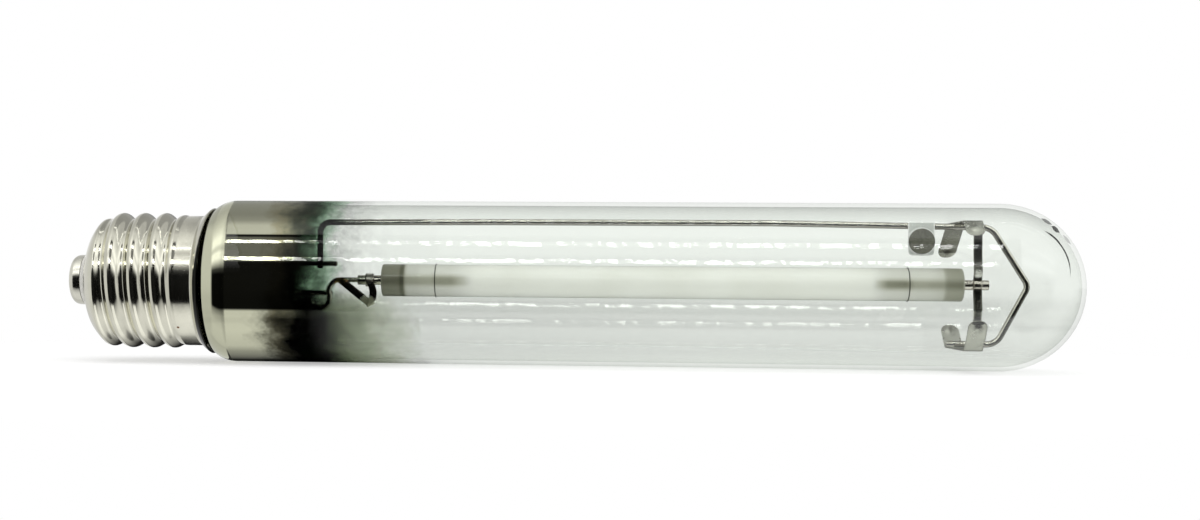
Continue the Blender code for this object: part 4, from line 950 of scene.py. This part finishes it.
# The two dark rings: one thin dark line round the arc tube near each end. What they are made
# of can't be told, so they are drawn as fine wire that lies on its skin.
ring_dark = metal("tube_ring", (0.10, 0.10, 0.09), 0.40)[0]
for name, station in (("tube_ring_base", 0.10805), ("tube_ring_dome", 0.24166)):
    shape = bmesh.new()
    bmesh.ops.create_circle(shape, segments=10, radius=RING_THICKNESS / 2)
    bmesh.ops.translate(shape, verts=shape.verts, vec=(station, RING_RADIUS, 0.0))
    bmesh.ops.spin(shape, geom=shape.verts[:] + shape.edges[:], cent=(0, 0, 0), axis=(1, 0, 0),
                   angle=2 * math.pi, steps=96, use_merge=True)
    bmesh.ops.recalc_face_normals(shape, faces=shape.faces)
    add_piece(name, on_arc_axis(mesh_from(name, shape)), ring_dark, "tungsten")

# The flexible strap: thin strip, clamped round the niobium tube, folded back over itself and
# welded to the hook wire, so that the wire can slide in the tube as the arc tube grows.
RIBBON_WIDTH = 0.0021
RIBBON_WALL = 0.0002
CLAMP_STATION = 0.08853
CLAMP_RADIUS = 0.0018
ARM_DEPTH = -0.00115
FOLD_HALF = (CLAMP_RADIUS + ARM_DEPTH) / 2


def strip(name, stops, columns, steps, thickness, material, slot, *replaced):
    """A strip of sheet through stops (centre, edge to edge), smoothed between them."""
    centres = flowing([centre for centre, _ in stops], steps)
    edges = flowing([edge for _, edge in stops], steps)

    def put(across, along):
        index = round(along * (len(centres) - 1))
        return centres[index] + edges[index] * (across - 0.5)

    piece = add_piece(name, sheet(name, columns, len(centres) - 1, put), material, slot,
                      *replaced)
    thicken(piece, thickness, 0.0)
    return piece


straight = Vector((RIBBON_WIDTH, 0.0, 0.0))
stops = []
for step in range(17):
    angle = math.radians(-30 + 300 * step / 16)
    stops.append((Vector((CLAMP_STATION, CLAMP_RADIUS * math.sin(angle),
                          ARC_AXIS - CLAMP_RADIUS * math.cos(angle))), straight))
for station, height in ((0.08943, -0.00115), (0.08983, -0.00255), (0.08983, -0.00395),
                        (0.08943, -0.00535)):
    stops.append((Vector((station, -CLAMP_RADIUS, height)), straight))
folded = Vector((0.08903, ARM_DEPTH, -0.0064))
weld = Vector((0.08013, ARM_DEPTH, ARC_AXIS))
outgoing = (weld - folded).normalized()
crease = (outgoing + Vector((0.0, 0.0, -1.0))).normalized()
row = crease * RIBBON_WIDTH / crease.x
tip = Vector((-crease.z, 0.0, crease.x)) * -FOLD_HALF
stops += [(Vector((folded.x, -CLAMP_RADIUS, folded.z)), row),
          (Vector((folded.x, ARM_DEPTH - FOLD_HALF, folded.z)) - tip, row), (folded, row)]
square = Vector((outgoing.z, 0.0, -outgoing.x)) * RIBBON_WIDTH
stops += [(folded.lerp(weld, share), square) for share in (0.2, 0.4, 0.6, 0.8, 1.0)]


def bright_near(material_parts, centre, reach, colour, dulled=0.0):
    """A bright patch near a place on darker metal: clean metal, and painted highlights too."""
    made, tree, shader, tint, where = material_parts
    amount = ramp(tree, sums(tree, "DIVIDE", distance(tree, where, centre), reach),
                  [(0.75, 1.0), (1.0, 0.0)])
    tint = blended(tree, amount, tint, colour)
    tree.links.new(tint, shader.inputs["Base Color"])
    if dulled:
        polish = shader.inputs["Roughness"].links[0].from_socket
        tree.links.new(sums(tree, "MULTIPLY_ADD", amount, dulled, polish),
                       shader.inputs["Roughness"])
    return made, tree, shader, tint, where


# The clamp is bright metal like the tube; the pale patch at the fold is a painted highlight.
ribbon_parts = metal("ribbon", (0.11, 0.105, 0.09), 0.22, 1400.0, 0.10, 0.12)
ribbon_parts = bright_near(ribbon_parts, (CLAMP_STATION, 0.0, ARC_AXIS), 0.0024,
                           (0.80, 0.77, 0.70), 0.12)
ribbon_parts = bright_near(ribbon_parts, (0.0882, -0.0014, -0.0062), 0.0028,
                           (0.95, 0.95, 0.82), 0.6)
ribbon_steel = heat_colours(ribbon_parts, (0.0803, -0.00115, 0.0002), 0.0034)
strip("folded_strap", stops, 4, 2, RIBBON_WALL, ribbon_steel, "ribbon", "base_ribbon")

# The cross strap: dark strip welded to both runs of the frame and bowed round the front of
# the niobium tube, which it is welded to.
CROSS_STATION = 0.26083
CROSS_WIDTH = 0.0024
CROSS_WALL = 0.00025
CROSS_DEPTH = -0.001305
BOW_RADIUS = 0.001655
BOW_STEP = 13.5  # degrees
stops = [(CROSS_DEPTH, 0.01768), (CROSS_DEPTH, 0.0125), (CROSS_DEPTH, 0.0085), (-0.00200, 0.0048),
         (-0.00200, 0.0042), (-0.00135, 0.0025)]
for step in range(-3, 4):
    lean = math.radians(BOW_STEP * step)
    stops.append((-BOW_RADIUS * math.cos(lean), ARC_AXIS - BOW_RADIUS * math.sin(lean)))
stops += [(CROSS_DEPTH, -0.0022), (-0.00190, -0.0056), (-0.00195, -0.0064), (-0.00125, -0.0090),
          (CROSS_DEPTH, -0.0120), (CROSS_DEPTH, -0.01688)]
strap_parts = metal("strap", (0.20, 0.195, 0.17), 0.22, 1100.0, 0.10, 0.12)
# The first is the bright bow round the niobium tube; the other two are painted highlights.
for depth, height, reach, colour in ((-0.0018, ARC_AXIS, 0.0019, (0.66, 0.62, 0.55)),
                                     (-0.0016, 0.0038, 0.0015, (0.92, 0.92, 0.86)),
                                     (-0.0016, -0.0080, 0.0020, (0.84, 0.84, 0.78))):
    strap_parts = bright_near(strap_parts, (CROSS_STATION, depth, height), reach, colour)
across = Vector((CROSS_WIDTH, 0.0, 0.0))
strip("cross_strap_sheet", [(Vector((CROSS_STATION, *stop)), across) for stop in stops], 4, 4,
      CROSS_WALL, strap_parts[0], "strap", "cross_strap")

# The two springs: one leaf each, welded across the frame's run. Its fingers bend down the
# wall of the bulb, and their round tips are dimpled to press on the glass.
SPRING_STATION = 0.25723
SPRING_HALF = 0.00255
SPRING_WALL = 0.0003
WALL_RADIUS = 0.02145
DIMPLE_RADIUS = 0.0016
DIMPLE_DEPTH = 0.0004
BEND_HALF = 0.0008
DIMPLE_DARK_SPOT = (0.2572, 0.0, -0.0097)
leaf_steel, tree, shader, tint, where = metal("spring_leaf", (0.52, 0.52, 0.46), 0.28, 1300.0,
                                              0.08, 0.14)
side = axes(tree, where)
# Painted shade on the top leaf's far finger, and a painted dark reflection in the dimple of the
# lower leaf's front tip.
far_finger_shade = sums(tree, "MULTIPLY", sums(tree, "GREATER_THAN", side["Z"], 0.010),
               reading(tree, side["Y"], 40.0, [(0.001, 0.0), (0.0035, 1.0)]))
far_finger_shade = blended(tree, far_finger_shade, tint, (0.17, 0.17, 0.14))
dark_mark = ramp(tree, from_oval(tree, where, DIMPLE_DARK_SPOT, (0.0019, 1.0, 0.00062)),
             [(0.80, 0.96), (1.0, 0.0)])
dark_mark = sums(tree, "MULTIPLY", dark_mark, sums(tree, "LESS_THAN", side["Y"], 0.0))
tree.links.new(blended(tree, dark_mark, far_finger_shade, (0.012, 0.012, 0.010)), shader.inputs["Base Color"])


def spring(name, source, chord_height, up, tip_heights, lean):
    """A spring leaf: straight over the wire, then along the wall to a dimpled tip.

    Its back finger leans this far towards the base at the tip.
    """
    half_chord = math.sqrt(WALL_RADIUS ** 2 - chord_height ** 2)
    bend = math.asin(half_chord / WALL_RADIUS)
    reaches = [half_chord + WALL_RADIUS * (math.acos(height / WALL_RADIUS) - bend)
               for height in tip_heights]
    rows = []
    for side, reach in zip((-1, 1), reaches):
        near = [(1 - math.cos(math.pi / 2 * step / 10)) * SPRING_HALF for step in range(11)]
        rest = [SPRING_HALF + (reach - SPRING_HALF) * step / 36 for step in range(1, 36)]
        finger = [(side * (reach - run), run) for run in near + rest]
        rows += finger if side < 0 else [(0.0, reach), *finger[::-1]]

    def put(across, along):
        distance, from_tip = rows[round(along * (len(rows) - 1))]
        inset = max(SPRING_HALF - from_tip, 0.0)
        width = math.sqrt(max(SPRING_HALF ** 2 - inset ** 2, 0.0))
        width += inset / 8
        sideways = (across * 2 - 1) * width
        past = abs(distance) - half_chord
        angle = bend + past / WALL_RADIUS
        softened = smoothstep((past + BEND_HALF) / (2 * BEND_HALF))
        flat = Vector((abs(distance), chord_height))
        curved = Vector((math.sin(angle), math.cos(angle))) * WALL_RADIUS
        depth, height = flat.lerp(curved, softened)
        from_dimple = math.hypot(sideways, from_tip - SPRING_HALF) / DIMPLE_RADIUS
        bump = max(1 - from_dimple ** 2, 0.0) ** 2
        grow = 1 + DIMPLE_DEPTH * bump / math.hypot(depth, height)
        lent = lean * (max(past, 0.0) / (reaches[1] - half_chord)) ** 2 if distance > 0 else 0.0
        return Vector((SPRING_STATION + sideways - lent,
                       math.copysign(depth, distance) * grow, up * height * grow))

    piece = add_piece(name, sheet(name, 16, len(rows) - 1, put), leaf_steel, "spring_leaf",
                      source)
    thicken(piece, SPRING_WALL, 0.0)


spring("top_leaf", "top_spring", 0.01813, 1, (0.0141, 0.0087), 0.0012)
spring("lower_leaf", "lower_spring", 0.01733, -1, (0.0090, 0.0111), 0.0003)

# The getter: a dark pressed pill on a pale sheet plate, which is welded to the frame's top
# run at the dome end.
PILL_PLACE = (0.24523, 0.0, 0.012775)
PLATE_HALF = 0.00365
PLATE_TOP = 0.0180
PLATE_FOOT = 0.00875
PLATE_CORNER = 0.0016
PLATE_BACK = -0.00118
PLATE_WALL = 0.0002
PILL_BACK = -0.00168
PILL_RADIUS = 0.00355
plate = [(-PLATE_HALF, PLATE_TOP), (-PLATE_HALF, PLATE_FOOT), (PLATE_HALF, PLATE_FOOT),
         (PLATE_HALF, PLATE_TOP)]
plate = rounded(plate, {1: PLATE_CORNER, 2: PLATE_CORNER}, 8)
shape = bmesh.new()
face = shape.faces.new([shape.verts.new((PILL_PLACE[0] + side, PLATE_BACK, height))
                        for side, height in plate])
grown = bmesh.ops.extrude_face_region(shape, geom=[face])
bmesh.ops.translate(shape, vec=(0.0, -PLATE_WALL, 0.0),
                    verts=[part for part in grown["geom"] if isinstance(part, bmesh.types.BMVert)])
bmesh.ops.recalc_face_normals(shape, faces=shape.faces)
plate_steel = matt("getter_plate", (0.68, 0.70, 0.68), 0.35, 1200.0, 0.04, 0.96)
tree = plate_steel.node_tree
# Painted highlight: a white ring round the pill and white rims along the plate's sides and foot.
place = node(tree, "ShaderNodeVectorMath", operation="SUBTRACT")
tree.links.new(node(tree, "ShaderNodeTexCoord").outputs["Object"], place.inputs[0])
place.inputs[1].default_value = PILL_PLACE
flat = axes(tree, place.outputs[0])
bright = sums(tree, "MAXIMUM",
              sums(tree, "LESS_THAN", slant(tree, flat["X"], flat["Z"]), 0.0040),
              sums(tree, "GREATER_THAN", sums(tree, "ABSOLUTE", flat["X"]), 0.0034))
bright = sums(tree, "MAXIMUM", bright, sums(tree, "LESS_THAN", flat["Z"], -0.0037))
colour = tree.nodes["Principled BSDF"].inputs["Base Color"]
tree.links.new(blended(tree, bright, colour.links[0].from_socket, (1.0, 1.0, 1.0)), colour)
add_piece("getter_sheet", mesh_from("getter_sheet", shape, False), plate_steel, "getter_plate",
          "getter_plate")

pill = rounded([(0.0, PILL_BACK), (PILL_RADIUS, PILL_BACK), (PILL_RADIUS, -0.00308),
                (0.0030, -0.00308), (0.0028, -0.00296), (0.0, -0.00296)],
               {1: 0.0002, 2: 0.0003}, 4)
data = turned("getter_pill_body", pill, 72, False)
data.transform(Matrix.Translation(PILL_PLACE) @ Matrix.Rotation(math.pi / 2, 4, "Z"))
add_piece("getter_pill_body", crisp(data), matt("getter_pill", (0.13, 0.13, 0.10), 0.70,
                                                1500.0, 0.50, 0.70), "getter_pill",
          "getter_pill")
